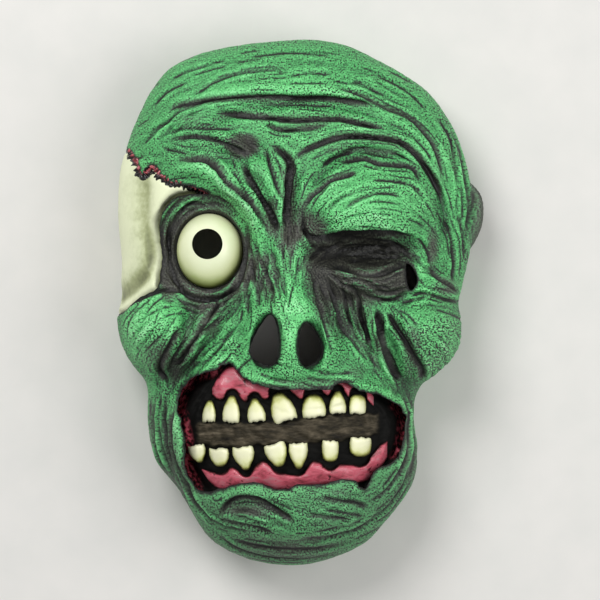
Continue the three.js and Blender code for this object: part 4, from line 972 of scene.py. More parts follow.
# The window bends round the eye, so it is cut in two parts that overlap a little.
upper_middle, lower_middle, upper_start, lower_end = placed([(-88, 43.5), (-95, 14), (0, 33), (0, 34)])
upper_skull = skull_path[skull_path[:, 1] > upper_start[1]]
lower_skull = skull_path[skull_path[:, 1] < lower_end[1]]
window_cutters = [
    straight_cutter("mouth_cutter", mouth_path),
    straight_cutter("left_nostril_cutter", left_nostril_path),
    straight_cutter("right_nostril_cutter", right_nostril_path),
    straight_cutter("slit_cutter", slit_path),
    straight_cutter("eye_cutter", eye_path),
    skull_cutter("upper_skull_cutter", upper_skull, upper_middle),
    skull_cutter("lower_skull_cutter", lower_skull, lower_middle),
]
bm = bmesh.new()
for cutter in window_cutters:
    bm.from_mesh(cutter.data)
openings = new_piece("openings", bm)
for cutter in window_cutters:
    bpy.data.objects.remove(cutter)
report_piece(openings)

# %% [markdown]
# Every finish starts from the same small helper, which adds a shader node with its settings and its
# links. Colours are read off as the sRGB values that a screen shows, and turned to the linear values
# that the shader adds up.

# %% Helpers for the finishes
def linear(code):
    """A colour from its sRGB hex code."""
    parts = [int(code[k:k + 2], 16) / 255 for k in (1, 3, 5)]
    return [p / 12.92 if p <= 0.04045 else ((p + 0.055) / 1.055) ** 2.4 for p in parts] + [1.0]


def add(tree, kind, inputs=(), out=0, stops=(), **settings):
    """The output of a new shader node. Inputs are values or links, stops a ramp's places and hex codes."""
    node = tree.nodes.new("ShaderNode" + kind)
    for name, value in settings.items():
        setattr(node, name, value)
    for key, value in inputs.items() if isinstance(inputs, dict) else enumerate(inputs):
        if isinstance(value, bpy.types.NodeSocket):
            tree.links.new(value, node.inputs[key])
        else:
            node.inputs[key].default_value = value
    if stops:
        elements = node.color_ramp.elements
        while len(elements) < len(stops):
            elements.new(0.5)
        for element, (place, code) in zip(elements, stops):
            element.position = place
            element.color = linear(code)
    return node.outputs[out]


def new_finish(name, roughness, ior=1.5, **more):
    material = bpy.data.materials.new(name)
    material.use_nodes = True
    tree = material.node_tree
    shader = tree.nodes["Principled BSDF"]
    shader.inputs["Roughness"].default_value = roughness
    shader.inputs["IOR"].default_value = ior
    for key, value in more.items():
        shader.inputs[key.replace("_", " ")].default_value = value
    return material, tree, shader


def lay_on(tree, shader, colour, height=None, strength=0.5, distance=0.0005):
    """Links a colour to a finish, and a height that bends the light on it as fine relief does."""
    tree.links.new(colour, shader.inputs["Base Color"])
    if height is not None:
        bump = add(tree, "Bump", {"Strength": strength, "Distance": distance, "Height": height})
        tree.links.new(bump, shader.inputs["Normal"])


print("green of the high spots, linear:", [round(part, 3) for part in linear("#5cb26c")])

# %% [markdown]
# Painted latex has a dull, slightly waxy shine, like a rubber glove's. The dark wash is in the pores
# and the dry-brushed green sits on the pebbles, each about a millimetre across. The pores are plain
# noise. The dashes are Gabor noise, which can be turned at every point, so they lie along the
# wrinkles.

# %% Green latex
skin_latex, tree, shader = new_finish("green_dry_brushed_latex", 0.58, 1.52)
DASH_SPACING = 1.5
PORE_SIZE = 0.95
read = {name: add(tree, "Attribute", out="Fac", attribute_name=name) for name in skin_notes}
pattern = add(tree, "CombineXYZ", [read["pattern_x"], read["pattern_y"]])
twice_creep = add(tree, "Math", [read["creep_sin"], read["creep_cos"]], operation="ARCTAN2")
across_angle = add(tree, "Math", [twice_creep, 0.5, math.pi / 2], operation="MULTIPLY_ADD")
dashes = add(tree, "TexGabor", [pattern, 1 / (2 * DASH_SPACING), 2.0, 0.85, across_angle],
             out="Value", gabor_type="2D")
dashes = add(tree, "Math", [dashes, 0.5], operation="SUBTRACT")
pores = add(tree, "TexNoise", {"Vector": pattern, "Scale": 1 / PORE_SIZE, "Detail": 2.0,
                               "Roughness": 0.6})
pore_level = add(tree, "Math", [read["pitted"], 0.11, 0.37], operation="MULTIPLY_ADD")
pits = add(tree, "Math", [pore_level, pores], operation="SUBTRACT")
pits = add(tree, "Math", [pits, 18.0], operation="MULTIPLY", use_clamp=True)
line_width = add(tree, "Math", [read["line_strength"], 0.35, 0.3], operation="MULTIPLY_ADD")
thin = add(tree, "Math", [read["line_side"], line_width], operation="DIVIDE")
thin = add(tree, "Math", [thin, thin], operation="MULTIPLY")
thin = add(tree, "Math", [thin, -1.0], operation="MULTIPLY")
thin = add(tree, "Math", [thin], operation="EXPONENT")
thin = add(tree, "Math", [thin, read["line_strength"]], operation="MULTIPLY")
combed_share = add(tree, "Math", [read["washed_and_shaded"], 0.30, 0.16], operation="MULTIPLY_ADD")
speckle = add(tree, "Math", [dashes, combed_share], operation="MULTIPLY")
pore_shade = add(tree, "Math", [pores, 0.5], operation="SUBTRACT")
speckle = add(tree, "Math", [pore_shade, 0.65, speckle], operation="MULTIPLY_ADD")
pit_share = add(tree, "Math", [read["washed_and_shaded"], 0.26, -0.46], operation="MULTIPLY_ADD")
speckle = add(tree, "Math", [pits, pit_share, speckle], operation="MULTIPLY_ADD")
shade = add(tree, "Math", [speckle, read["paint"]], operation="ADD")
shade = add(tree, "Math", [thin, -0.6, shade], operation="MULTIPLY_ADD")
raised = add(tree, "Math", [dashes, 0.5, pores], operation="MULTIPLY_ADD")
raised = add(tree, "Math", [pits, -0.4, raised], operation="MULTIPLY_ADD")
raised = add(tree, "Math", [raised, thin], operation="SUBTRACT")
GREENS = [(0.12, "#080a07"), (0.36, "#182619"), (0.51, "#2c643b"), (0.66, "#50ab62"),
          (0.80, "#70d582"), (1.0, "#a8f2b2")]
GREYS = [(0.06, "#050504"), (0.24, "#171712"), (0.40, "#31312a"), (0.54, "#4c4f45"),
         (0.67, "#53765a"), (0.82, "#5cae6c")]
# The olive ramp is the duller, darker green, used partly as painted shade.
OLIVES = [(0.10, "#0b0d0a"), (0.36, "#202a20"), (0.54, "#3a5c40"), (0.70, "#4f8c5b"),
          (0.86, "#63b071"), (1.0, "#86d392")]
green, grey, olive = (add(tree, "ValToRGB", [shade], stops=stops) for stops in (GREENS, GREYS, OLIVES))
green_dulled_and_shaded = add(tree, "MixRGB", [read["dull_and_shaded"], green, olive])
lay_on(tree, shader, add(tree, "MixRGB", [read["washed_and_shaded"], green_dulled_and_shaded, grey]), raised, 0.6, 0.0006)

# %% [markdown]
# The inside of such a mask is never painted. It is the bare cast latex, dull and a little blotchy.

# %% Bare latex
bare_latex, tree, shader = new_finish("bare_cast_latex", 0.7, 1.52)
place_in = add(tree, "TexCoord", out="Object")
blotches = add(tree, "TexNoise", {"Vector": place_in, "Scale": 60.0, "Detail": 4.0})
bare_colour = add(tree, "ValToRGB", [blotches], stops=[(0.3, "#12160f"), (0.7, "#1d2418")])
lay_on(tree, shader, bare_colour, blotches, 0.3, 0.0005)

# %% Cutting the skin
skin.data.materials.append(skin_latex)
hollow.data.materials.append(bare_latex)
openings.data.materials.append(skin_latex)
for cutter in (openings, hollow):
    cut = skin.modifiers.new("cut", "BOOLEAN")
    cut.operation = "DIFFERENCE"
    cut.solver = "EXACT"
    cut.use_self = cutter is openings
    cut.material_mode = "TRANSFER"
    cut.object = cutter
    bpy.context.view_layer.update()
    dressed = skin.evaluated_get(bpy.context.evaluated_depsgraph_get())
    cut_mesh = bpy.data.meshes.new_from_object(dressed)
    skin.modifiers.remove(cut)
    skin.data = cut_mesh
    print("after the", cutter.name, len(cut_mesh.polygons), "faces")
    bpy.data.objects.remove(cutter)
cut_mesh.name = "skin"
cut_mesh.shade_smooth()
cut_mesh.set_sharp_from_angle(angle=math.radians(55))
report_piece(skin)
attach(skin, "root")
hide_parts("face_skin")

# %% [markdown]
# The skull shows at the left temple. It is smooth, so the latex there was left plain cream and
# rubbed with a thin brown wash that stays in the one long groove. Painted shade darkens that groove
# and the bone along the skin's edge. The patch fills its opening and sinks away under the skin round it.

# %% The patch of skull
SKULL_LOW, SKULL_HIGH = placed([(-122, -14), (-40, 63)])
SKULL_GROOVE = open_curve(placed([(-83.5, 47), (-84.5, 36), (-83, 27), (-80.5, 18.5), (-83, 11),
                                  (-92.5, 4), (-100, 1)]), 6)


def bone_relief(x, y):
    nearest, along = distance_to(SKULL_GROOVE, x, y)[:2]
    return -2.4 * np.exp(-(nearest / 5.0) ** 2) * smooth_step(0, 0.08, along)


def skull_pattern(u, v):
    """The patch of skull on the pattern. It is narrower beside the eye, so it ends before the ball."""
    y = SKULL_LOW[1] + (SKULL_HIGH[1] - SKULL_LOW[1]) * (v + 1) / 2
    beside_eye, over_eye = placed([(-70.5, 28), (-43, 35)])
    right = beside_eye[0] + (over_eye[0] - beside_eye[0]) * smooth_step(beside_eye[1], over_eye[1], y)
    return SKULL_LOW[0] + (right - SKULL_LOW[0]) * (u + 1) / 2, y


def skull_place(u, v, w):
    x, y = skull_pattern(u, v)
    filled = smooth_step(-0.5, 3.0, -sample(from_skull, x, y))
    top = PLATE_TOP + 2.7 * filled + bone_relief(x, y) * filled
    clear_of_eye = smooth_step(3.0, 5.5, sample(from_eye, x, y))
    top = top - 2.5 * (1 - clear_of_eye)
    return off_mask(x, y, lowest, np.where(w > 0.5, top, PLATE_TOP - PLATE_WALL - 0.4))


skull, u, v, w = slab("skull_patch", 110, 140, skull_place)
skull_x, skull_y = skull_pattern(u, v)
skull_near, skull_along, skull_side = distance_to(SKULL_GROOVE, skull_x, skull_y)
# Painted shade over a thin brown wash: darker in the long groove, wider to its left, and at the window's
# edge under the skin.
left_of_groove = 1 + 0.9 * (skull_side < 0)
groove_wash_and_shade = np.exp(-(skull_near / (3.4 * left_of_groove)) ** 2)
groove_wash_and_shade = groove_wash_and_shade * (0.5 + 0.25 * smooth_step(0.15, 0.6, skull_along))
groove_wash_and_shade = groove_wash_and_shade + 0.7 * np.exp(-(np.minimum(0, sample(from_skull, skull_x, skull_y)) / 0.8) ** 2)
note_value(skull, "groove_wash_and_shade", np.clip(groove_wash_and_shade, 0, 1))

bone_latex, tree, shader = new_finish("cream_bone_latex", 0.5, 1.52)
place_in = add(tree, "TexCoord", out="Object")
groove_wash_and_shade_in = add(tree, "Attribute", out="Fac", attribute_name="groove_wash_and_shade")
cloud = add(tree, "TexNoise", {"Vector": place_in, "Scale": 90.0, "Detail": 5.0})
grit = add(tree, "TexNoise", {"Vector": place_in, "Scale": 420.0, "Detail": 3.0})
cloud = add(tree, "Math", [cloud, 0.5], operation="SUBTRACT")
grit_shade = add(tree, "Math", [grit, 0.5], operation="SUBTRACT")
bone_wash_and_shade = add(tree, "Math", [cloud, 0.5, groove_wash_and_shade_in], operation="MULTIPLY_ADD")
bone_wash_and_shade = add(tree, "Math", [grit_shade, 0.3, bone_wash_and_shade], operation="MULTIPLY_ADD")
bone_colour = add(tree, "ValToRGB", [bone_wash_and_shade], stops=[
    (0.02, "#e9efc9"), (0.22, "#d9e0b8"), (0.5, "#a9b083"), (0.75, "#80865f"), (1.0, "#33331f")])
lay_on(tree, shader, bone_colour, grit, 0.25, 0.0004)
dress(skull, bone_latex)
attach(skull, "root")
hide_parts("skull_plate")

# %% [markdown]
# The eye is a ball of cream latex with a round hole to look through. A profile is spun once round,
# as on a lathe: out from the hole, over the ball, under it and back inside. The lids then stretch it
# a little taller than wide, while the hole stays round.

# %% The bulging eye
EYE_BULGE = 17.0
EYE_WALL = 2.4


def socket_levels():
    x = EYE_CENTRE[0] + EYE_WIDTH / 2 * np.cos(turn)
    y = EYE_CENTRE[1] + EYE_HEIGHT / 2 * np.sin(turn)
    return off_mask(x, y, lowest, np.full(x.shape, PLATE_TOP))[:, 2]


levels = socket_levels()
eye_low, eye_mean = levels.min() - EYE_WALL, levels.mean()
hole = PUPIL_WIDTH / 2
ball = EYE_WIDTH / 2
bm = bmesh.new()
profile = []
for slope in np.linspace(0, 1, 15):
    angle = math.acos(hole / ball) * (1 - slope)
    profile.append((ball * math.cos(angle), eye_mean + EYE_BULGE * math.sin(angle)))
profile.append((ball, eye_low))
profile.append((ball - EYE_WALL, eye_low))
for slope in np.linspace(1, 0, 12):
    angle = math.acos(hole / (ball - EYE_WALL)) * (1 - slope)
    profile.append(((ball - EYE_WALL) * math.cos(angle),
                    eye_mean + (EYE_BULGE - EYE_WALL) * math.sin(angle)))
corners = [bm.verts.new((r, 0, z)) for r, z in profile]
edges = [bm.edges.new(pair) for pair in zip(corners, corners[1:] + corners[:1])]
bmesh.ops.spin(bm, geom=corners + edges, cent=(0, 0, 0), axis=(0, 0, 1), angle=2 * math.pi,
               steps=72, use_merge=True)
bmesh.ops.remove_doubles(bm, verts=bm.verts[:], dist=0.001)
bmesh.ops.recalc_face_normals(bm, faces=bm.faces[:])
eye = new_piece("bulging_eye", bm)
points = read_points(eye)
reach = np.hypot(points[:, 0], points[:, 1])
share = np.clip((reach - hole) / (ball - hole), 0, 1)
middle = PUPIL_CENTRE + (EYE_CENTRE - PUPIL_CENTRE) * share[:, None]
taller = 1 + (EYE_HEIGHT / EYE_WIDTH - 1) * share
write_points(eye, np.stack([points[:, 0] + middle[:, 0], points[:, 1] * taller + middle[:, 1],
                            points[:, 2]], 1))
angle = np.arctan2(points[:, 1], points[:, 0])
# Painted shade: the ball darkens towards its rim, most on its lower side.
shaded = share ** 2.2 * (0.62 - 0.38 * np.sin(angle - 0.25))
note_value(eye, "shaded", shaded)

eye_latex, tree, shader = new_finish("smooth_cream_latex", 0.36, 1.52, Coat_Weight=0.15)
place_in = add(tree, "TexCoord", out="Object")
shaded_in = add(tree, "Attribute", out="Fac", attribute_name="shaded")
cloud = add(tree, "TexNoise", {"Vector": place_in, "Scale": 130.0, "Detail": 4.0})
cloud = add(tree, "Math", [cloud, 0.5], operation="SUBTRACT")
shade_and_tone = add(tree, "Math", [cloud, 0.22, shaded_in], operation="MULTIPLY_ADD")
lay_on(tree, shader, add(tree, "ValToRGB", [shade_and_tone], stops=[
    (0.0, "#eef4cf"), (0.3, "#dfe6b4"), (0.55, "#bcc786"), (0.8, "#84914c"), (1.0, "#3e471f")]))
dress(eye, eye_latex)
eye.data.set_sharp_from_angle(angle=math.radians(45))
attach(eye, "root")
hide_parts("eyeball")

# %% [markdown]
# Behind the torn lips lies a dark, bowl-shaped floor that follows the muzzle. A thick band of it
# stands up between the two rows of teeth. At the corners of the mouth the raw inside of the cheek
# shows, spotted with dark red.

# %% The back of the mouth
MOUTH_LEFT = placed([(-57, -80), (-58, -72), (-65.5, -64), (-66, -56), (-67.5, -45), (-68.5, -36),
                     (-64, -27), (-50, -18)])
MOUTH_RIGHT = placed([(38, -80), (40, -72), (50, -64), (56.5, -56), (59.5, -45), (57, -36),
                      (52, -27), (40, -18)])
MOUTH_TOP = placed([(-76, -20), (-45, -20), (-31, -24), (-24, -27.5), (66, -27.5)])
BAND_TOP = placed([(-60, -46.3), (-32, -46.5), (-10, -45.9), (16, -43.4), (43, -42.8)])
BAND_LOW = placed([(-60, -53), (-53, -54.4), (-32, -55.3), (-19, -53.9), (5, -53.3), (25, -52.3),
                   (44, -50.4)])


def band_at(x, y):
    top = np.interp(x, *BAND_TOP.T)
    low = np.interp(x, *BAND_LOW.T)
    torn = 0.5 * np.sin(x * 0.9) + 0.4 * np.sin(x * 0.37 + 1)
    within = smooth_step(-0.8, 0.9, top - y + torn) * smooth_step(-0.8, 0.9, y - low + torn)
    ends = smooth_step(-57.5, -54, x) * smooth_step(-44, -40, -x)
    return within * ends


def mouth_floor(x, y):
    """The rise of the mouth's floor: up to the skin just outside the lips, and down again under it."""
    beyond = sample(from_mouth, x, y)
    wall = smooth_step(-2.2, 1.4, beyond) * (1 - smooth_step(3.0, 6.5, beyond))
    rough = 0.35 * sample(streaks, x, y) + 0.25 * sample(pebbles, x, y)
    return MOUTH_DEPTH * 0.96 * wall + band_at(x, y) * (2.3 + 0.5 * rough) + 0.35 * rough * (1 - wall)


def mouth_xy(u, v):
    low, high = MOUTH_LEFT[0, 1], MOUTH_LEFT[-1, 1]
    y = low + (high - low) * (v + 1) / 2
    left, right = (np.interp(y, side[:, 1], side[:, 0]) for side in (MOUTH_LEFT, MOUTH_RIGHT))
    x = left + (right - left) * (u + 1) / 2
    return x, low + (np.interp(x, *MOUTH_TOP.T) - low) * (v + 1) / 2


def mouth_place(u, v, w):
    x, y = mouth_xy(u, v)
    return over_floor(x, y, np.where(w > 0.5, mouth_floor(x, y), -PLATE_WALL))


mouth, u, v, w = slab("mouth_back", 200, 130, mouth_place)
mouth_x, mouth_y = mouth_xy(u, v)
near_edge = sample(from_mouth, mouth_x, mouth_y)
side_share = smooth_step(-52, -58, mouth_x) + smooth_step(47, 53, mouth_x)
upper_left = smooth_step(-40, -48, mouth_x) * smooth_step(-46, -40, mouth_y)
note_value(mouth, "raw", np.clip(side_share + upper_left, 0, 1) * smooth_step(-5.0, -2.2, near_edge))
note_value(mouth, "band", band_at(mouth_x, mouth_y))

mouth_latex, tree, shader = new_finish("dark_mouth_latex", 0.75, 1.4, Specular_IOR_Level=0.25)
place_in = add(tree, "TexCoord", out="Object")
band_in, raw_in = (add(tree, "Attribute", out="Fac", attribute_name=name) for name in ("band", "raw"))
brush = add(tree, "Mapping", {"Vector": place_in, "Scale": (70.0, 300.0, 120.0)})
brushed_grey = add(tree, "TexNoise", {"Vector": brush, "Scale": 1.0, "Detail": 5.0, "Roughness": 0.65})
spots = add(tree, "TexNoise", {"Vector": place_in, "Scale": 380.0, "Detail": 3.0})
greys = add(tree, "ValToRGB", [brushed_grey], stops=[
    (0.34, "#1b1813"), (0.48, "#353025"), (0.62, "#564e40"), (0.76, "#7c7362")])
blacks = add(tree, "ValToRGB", [brushed_grey], stops=[(0.4, "#040403"), (0.7, "#0e0d0b")])
reds = add(tree, "ValToRGB", [spots], stops=[
    (0.40, "#100606"), (0.48, "#5a1a22"), (0.56, "#a8414f"), (0.70, "#c0626e")])
mouth_colour = add(tree, "MixRGB", [band_in, blacks, greys])
mouth_colour = add(tree, "MixRGB", [raw_in, mouth_colour, reds])
lay_on(tree, shader, mouth_colour, brushed_grey, 0.5, 0.0005)
dress(mouth, mouth_latex)
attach(mouth, "root")
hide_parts("mouth_plate")

# %% [markdown]
# The teeth are worn pegs, each a little different. Each starts as a slab whose sides follow a table
# of half widths from the ragged biting edge to the root, and whose front is rounded like a pillow.

# %% Teeth
TEETH = [  # name, tip, root, width at the tip, width at the root
    ("upper_tooth_1", (-49, -45.8), (-48.2, -37.8), 7.0, 4.6),
    ("upper_tooth_2", (-37, -45.8), (-36.3, -35.8), 9.0, 5.4),
    ("upper_tooth_3", (-22.8, -45.6), (-24.3, -36.8), 9.4, 5.0),
    ("upper_tooth_4", (-7.2, -45.3), (-12.2, -34.6), 12.6, 8.0),
    ("upper_tooth_5", (7.7, -44), (7.0, -35.2), 12.2, 9.2),
    ("upper_tooth_6", (20.2, -42.6), (20.0, -34), 8.7, 5.0),
    ("upper_tooth_7", (30.8, -42.6), (31.0, -35.4), 8.6, 7.8),
    ("lower_tooth_1", (-56.2, -54.8), (-53.6, -61.5), 9, 4.8),
    ("lower_tooth_2", (-43.8, -56), (-42.5, -62.8), 10.4, 7.2),
    ("lower_tooth_3", (-30.8, -55), (-28.8, -64), 11.2, 5.4),
    ("lower_tooth_4", (-14.0, -53.6), (-10.6, -62.5), 11.4, 6.8),
    ("lower_tooth_5", (-1, -53.4), (-0.6, -63.4), 9.8, 5.2),
    ("lower_tooth_6", (16.2, -52.6), (16.2, -60.8), 8.6, 7.6),
    ("lower_tooth_7", (32.6, -51.6), (32.2, -59), 11.2, 10.2),
]
TOOTH_THICKNESS = 5.0

tooth_latex, tree, shader = new_finish("cream_tooth_latex", 0.4, 1.52, Coat_Weight=0.1)
place_in = add(tree, "TexCoord", out="Object")
root_in = add(tree, "Attribute", out="Fac", attribute_name="root")
cloud = add(tree, "TexNoise", {"Vector": place_in, "Scale": 260.0, "Detail": 4.0})
cloud_shade = add(tree, "Math", [cloud, 0.5], operation="SUBTRACT")
stain_and_shade = add(tree, "Math", [cloud_shade, 0.55, root_in], operation="MULTIPLY_ADD")
tooth_colour = add(tree, "ValToRGB", [stain_and_shade], stops=[
    (0.1, "#f3f3cd"), (0.4, "#e6e8b4"), (0.62, "#c3c779"), (0.82, "#868a45"), (1.0, "#3b3c20")])
lay_on(tree, shader, tooth_colour, cloud, 0.2, 0.0004)


def make_tooth(name, tip, root, tip_wide, root_wide):
    tip, root = placed([tip, root])
    length = np.hypot(*(root - tip))
    up = (root - tip) / length
    half_tip, half_root = tip_wide * HALF_WIDTH / 200, root_wide * HALF_WIDTH / 200
    at = [0, 0.06, 0.3, 0.58, 0.8, 0.92, 1.0]
    halves = [half_tip * 0.93, half_tip * 1.0, half_tip * 1.05, half_tip * 0.66 + half_root * 0.40,
              half_root * 1.06, half_root * 0.84, half_root * 0.44]
    lean = rng.uniform(-0.5, 0.5)
    notches = rng.uniform(-0.6, 0.6, 9)

    def place(u, v, w):
        share = (v + 1) / 2
        chip = np.interp(u, np.linspace(-1, 1, 9), notches) * (1 - share) ** 8
        along = share * length + chip + lean * u * (1 - share) ** 4
        aside = u * np.interp(share, at, halves)
        x = tip[0] + up[0] * along - up[1] * aside
        y = tip[1] + up[1] * along + up[0] * aside
        pillow = (1 - np.abs(u) ** 3.2) ** 0.6 * (1 - np.abs(v) ** 7) ** 0.5
        return over_floor(x, y, np.where(w > 0.5, 0.4 + TOOTH_THICKNESS * (0.12 + 0.88 * pillow), 0.4))

    tooth, u, v, w = slab(name.replace("tooth", "peg"), 16, 20, place)
    # Painted shade: each tooth darkens along its sides and its biting edge. Towards the root it is stained.
    rim = np.maximum(np.abs(u) ** 5, np.clip(-v, 0, 1) ** 14 * 0.3)
    note_value(tooth, "root", np.clip(((v + 1) / 2) ** 2.2 * 0.95 + 0.5 * rim, 0, 1))
    dress(tooth, tooth_latex)
    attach(tooth, "root")
    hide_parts(name)
for row in TEETH:
    make_tooth(*row)

# %% [markdown]
# Gums are pink, wet and lumpy, and they stand back from each tooth, where the dark floor shows as a
# line round the root. Each gum is a strip between a low and a high edge, pushed under the floor
# wherever a tooth is close.

# %% Gums
UPPER_GUM = [  # x, low edge, high edge
    (-47, -37.2, -33), (-44.5, -37.5, -29.5), (-41.5, -37.6, -26.5), (-38, -35.5, -24.2),
    (-35, -34.5, -24.5), (-31, -37.5, -27), (-28.5, -38.2, -28.5), (-24, -36, -29.6),
    (-19, -37.2, -30.5), (-16.5, -36.5, -31), (-15, -34.5, -31.3),
]
UPPER_GUM_RIGHT = [
    (-6, -33.2, -31), (-3.5, -35, -31), (0.5, -37.2, -31), (4, -35.2, -31.2), (8.5, -33.6, -31),
    (12.5, -35, -31), (15, -35.8, -30.5), (17.5, -34, -30), (21, -32.8, -29.5), (24, -35, -29.5),
    (26.5, -36.6, -30.5), (30, -34, -31), (34, -35.8, -32), (37, -38.5, -33.5), (39.5, -40, -36),
]
LOWER_GUM = [
    (-53, -64.5, -63.8), (-49, -68.6, -64.6), (-43, -72, -65.2), (-36, -71.5, -63), (-29, -71, -65.4),
    (-20, -70.5, -60.2), (-13, -72, -63.6), (-5, -72, -65.4), (2, -71, -64.6), (7.5, -71, -60),
    (16, -70, -62.8), (22, -69.5, -61.6), (30, -69.5, -61.8), (38, -68, -58.5), (43, -64.5, -54.8),
    (47, -60, -53.2),
]
GUM_THICKNESS = 3.6

tooth_outlines = []
for name, tip, root, tip_wide, root_wide in TEETH:
    (tx, ty), (rx, ry) = placed([tip, root])
    tooth_outlines.append((np.array([(tx, ty), (rx, ry)]), tip_wide * HALF_WIDTH / 200,
                           root_wide * HALF_WIDTH / 200))

gum_latex, tree, shader = new_finish("pink_gum_latex", 0.42, 1.45, Coat_Weight=0.15)
place_in = add(tree, "TexCoord", out="Object")
edge_in = add(tree, "Attribute", out="Fac", attribute_name="edge")
veins = add(tree, "Mapping", {"Vector": place_in, "Scale": (110.0, 260.0, 160.0)})
cloud = add(tree, "TexNoise", {"Vector": veins, "Scale": 1.0, "Detail": 6.0, "Roughness": 0.65,
                               "Distortion": 0.6})
flecks = add(tree, "TexNoise", {"Vector": place_in, "Scale": 330.0, "Detail": 1.0})
flecks = add(tree, "MapRange", {"Value": flecks, "From Min": 0.33, "From Max": 0.27})
# Darker along the gum's edges and beside the teeth: partly painted shade, partly the black paint round each
# tooth.
gum_shade_and_mottle = add(tree, "Math", [edge_in, -0.5, cloud], operation="MULTIPLY_ADD")
gum_shade_and_mottle = add(tree, "Math", [flecks, -0.25, gum_shade_and_mottle], operation="MULTIPLY_ADD")
gum_colour = add(tree, "ValToRGB", [gum_shade_and_mottle], stops=[
    (0.10, "#1a0a0a"), (0.28, "#6a2c34"), (0.40, "#a94a56"), (0.50, "#c85a6b"), (0.60, "#c0707a"),
    (0.72, "#b48a8c")])
lay_on(tree, shader, gum_colour, gum_shade_and_mottle, 0.5, 0.0008)


def tooth_room(x, y):
    """How far points are from the nearest tooth's side."""
    room = np.full(x.shape, 99.0)
    for path, half_tip, half_root in tooth_outlines:
        away, along = distance_to(path, x, y)[:2]
        room = np.minimum(room, away - (half_tip * (1 - along) + half_root * 0.8 * along))
    return room


def make_gum(name, stations, node):
    low, high = (open_curve(placed([(row[0], row[k]) for row in stations]), 8) for k in (1, 2))
    stops = np.linspace(0, 1, len(low))

    def where(u, v):
        t, s = (u + 1) / 2, (v + 1) / 2
        a = np.stack([np.interp(t, stops, low[:, k]) for k in (0, 1)], 1)
        b = np.stack([np.interp(t, stops, high[:, k]) for k in (0, 1)], 1)
        point = a * (1 - s[:, None]) + b * s[:, None]
        return point[:, 0], point[:, 1]

    def place(u, v, w):
        x, y = where(u, v)
        full = (1 - np.abs(v) ** 2.6) ** 0.5 * (1 - np.abs(u) ** 16)
        clear = smooth_step(0.5, 1.9, tooth_room(x, y))
        rise = 0.35 + GUM_THICKNESS * full * clear + 0.25 * sample(lumps, x, y) * full
        rise = np.where(clear < 0.02, -0.6, rise)
        return over_floor(x, y, np.where(w > 0.5, rise, -1.2))

    gum, u, v, w = slab(name, 160, 22, place)
    x, y = where(u, v)
    # The gum is darker along its edges and beside each tooth: partly painted shade, partly the black paint
    # that rings each tooth.
    edge = np.clip(np.abs(v) ** 6 + 1 - smooth_step(0.6, 2.4, tooth_room(x, y)), 0, 1)
    note_value(gum, "edge", edge)
    dress(gum, gum_latex)
    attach(gum, "root")
    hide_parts(node)


make_gum("upper_gum_left", UPPER_GUM, "upper_gum")
make_gum("upper_gum_right", UPPER_GUM_RIGHT, "upper_gum")
make_gum("lower_gum_arch", LOWER_GUM, "lower_gum")

# %% [markdown]
# Where the skin is torn over the skull, a wet fringe of flesh hangs from its edge. It is a narrow
# strip of lumps, pink along the skin, and painted black as shadow where it meets the bone.

# %% The torn fringe
FRINGE = open_curve(placed([(-95.5, 58), (-92, 56.5), (-89, 52.5), (-86, 48.5), (-83, 48.8),
                            (-80, 50.3), (-76.5, 48.2), (-72, 45.8), (-66, 44.6), (-60, 43.6),
                            (-55, 42.2), (-51, 40.6), (-47.5, 37.8)]), 8)
FRINGE_WIDTH = 6.4


def fringe_xy(u, v):
    t = (u + 1) / 2 * (len(FRINGE) - 1)
    k = np.minimum(t.astype(int), len(FRINGE) - 2)
    f = (t - k)[:, None]
    point = FRINGE[k] * (1 - f) + FRINGE[k + 1] * f
    step = FRINGE[k + 1] - FRINGE[k]
    aside = np.stack([-step[:, 1], step[:, 0]], 1) / np.hypot(*step.T)[:, None]
    ragged_low = 0.8 * np.sin(u * 47.0) + 0.5 * np.sin(u * 83.0 + 1)
    width = FRINGE_WIDTH * (1 - 0.45 * smooth_step(0.2, 1.0, u)) * np.where(v < 0, 1 + 0.16 * ragged_low, 1)
    point = point + aside * (v * width / 2 - 1.4)[:, None]
    return point[:, 0], point[:, 1]


def fringe_place(u, v, w):
    x, y = fringe_xy(u, v)
    lump = 0.7 + 0.4 * np.sin(u * 43.0) * np.cos(v * 2.2 + u * 19) + 0.25 * np.sin(u * 97.0 + 2)
    full = (1 - np.abs(v) ** 3) ** 0.5 * (1 - np.abs(u) ** 20)
    return off_mask(x, y, lowest, np.where(w > 0.5, PLATE_TOP + 1.2 + 2.0 * full * lump, PLATE_TOP - 1.0))


fringe, u, v, w = slab("torn_fringe", 220, 12, fringe_place)
# Painted shadow: the strip turns black on its low side, where it meets the bone.
note_value(fringe, "shaded_low_side", smooth_step(0.35, -0.35, v))

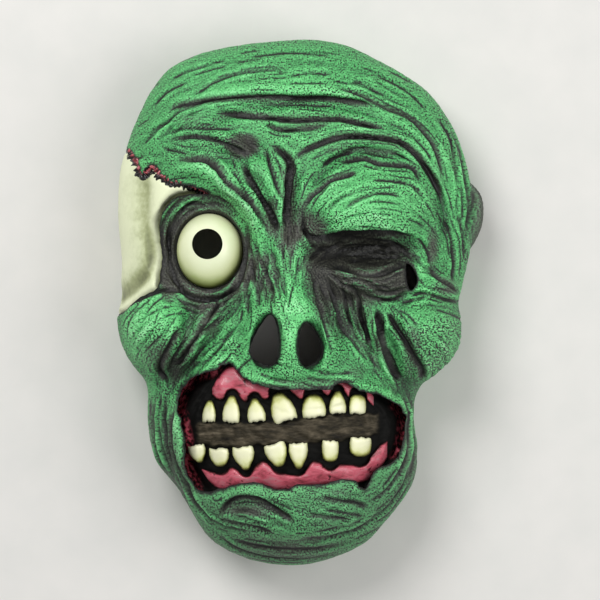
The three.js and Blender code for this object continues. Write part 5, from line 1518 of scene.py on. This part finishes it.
fringe_latex, tree, shader = new_finish("torn_flesh_latex", 0.36, 1.45, Coat_Weight=0.25)
place_in = add(tree, "TexCoord", out="Object")
shaded_low_in = add(tree, "Attribute", out="Fac", attribute_name="shaded_low_side")
bits = add(tree, "TexNoise", {"Vector": place_in, "Scale": 480.0, "Detail": 3.0})
depth = add(tree, "Math", [shaded_low_in, -0.6, bits], operation="MULTIPLY_ADD")
flesh_colour = add(tree, "ValToRGB", [depth], stops=[
    (0.0, "#080606"), (0.3, "#2a1011"), (0.45, "#7c3035"), (0.56, "#b65b62"), (0.68, "#cf8489")])
lay_on(tree, shader, flesh_colour, bits, 0.6, 0.0006)
dress(fringe, fringe_latex)
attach(fringe, "root")

# %% [markdown]
# The studio is plain: a pale floor under the mask, a wide soft light from the upper left as in the
# photograph, a weaker one from the right, and a pale sky that fills the shadows.

# %% Floor and light
bm = bmesh.new()
bmesh.ops.create_grid(bm, x_segments=1, y_segments=1, size=3000)
floor = new_piece("floor", bm)
write_points(floor, read_points(floor) - (0, 0, 0.3))
floor_paper, tree, shader = new_finish("pale_studio_paper", 0.8)
place_in = add(tree, "TexCoord", out="Object")
fibre = add(tree, "TexNoise", {"Vector": place_in, "Scale": 40.0, "Detail": 3.0})
lay_on(tree, shader, add(tree, "ValToRGB", [fibre], stops=[(0.3, "#d9d8d4"), (0.7, "#dedcd8")]))
floor.data.materials.append(floor_paper)


def add_light(name, power, size, place, aim=(0, 0, 0.05)):
    data = bpy.data.lights.new(name, "AREA")
    data.energy = power
    data.shape = "DISK"
    data.size = size
    lamp = bpy.data.objects.new(name, data)
    lamp.location = place
    away = lamp.location - type(lamp.location)(aim)
    lamp.rotation_euler = away.to_track_quat("Z", "Y").to_euler()
    bpy.context.scene.collection.objects.link(lamp)


add_light("key_light", 15.0, 0.8, (-0.5, 0.75, 1.25))
add_light("fill_light", 9.0, 1.0, (0.9, -0.1, 1.1))
world = bpy.data.worlds.new("soft_sky")
world.use_nodes = True
world.node_tree.nodes["Background"].inputs["Color"].default_value = (1.0, 1.0, 1.0, 1.0)
world.node_tree.nodes["Background"].inputs["Strength"].default_value = 0.35
bpy.context.scene.world = world
bpy.context.scene.view_settings.view_transform = "Standard"
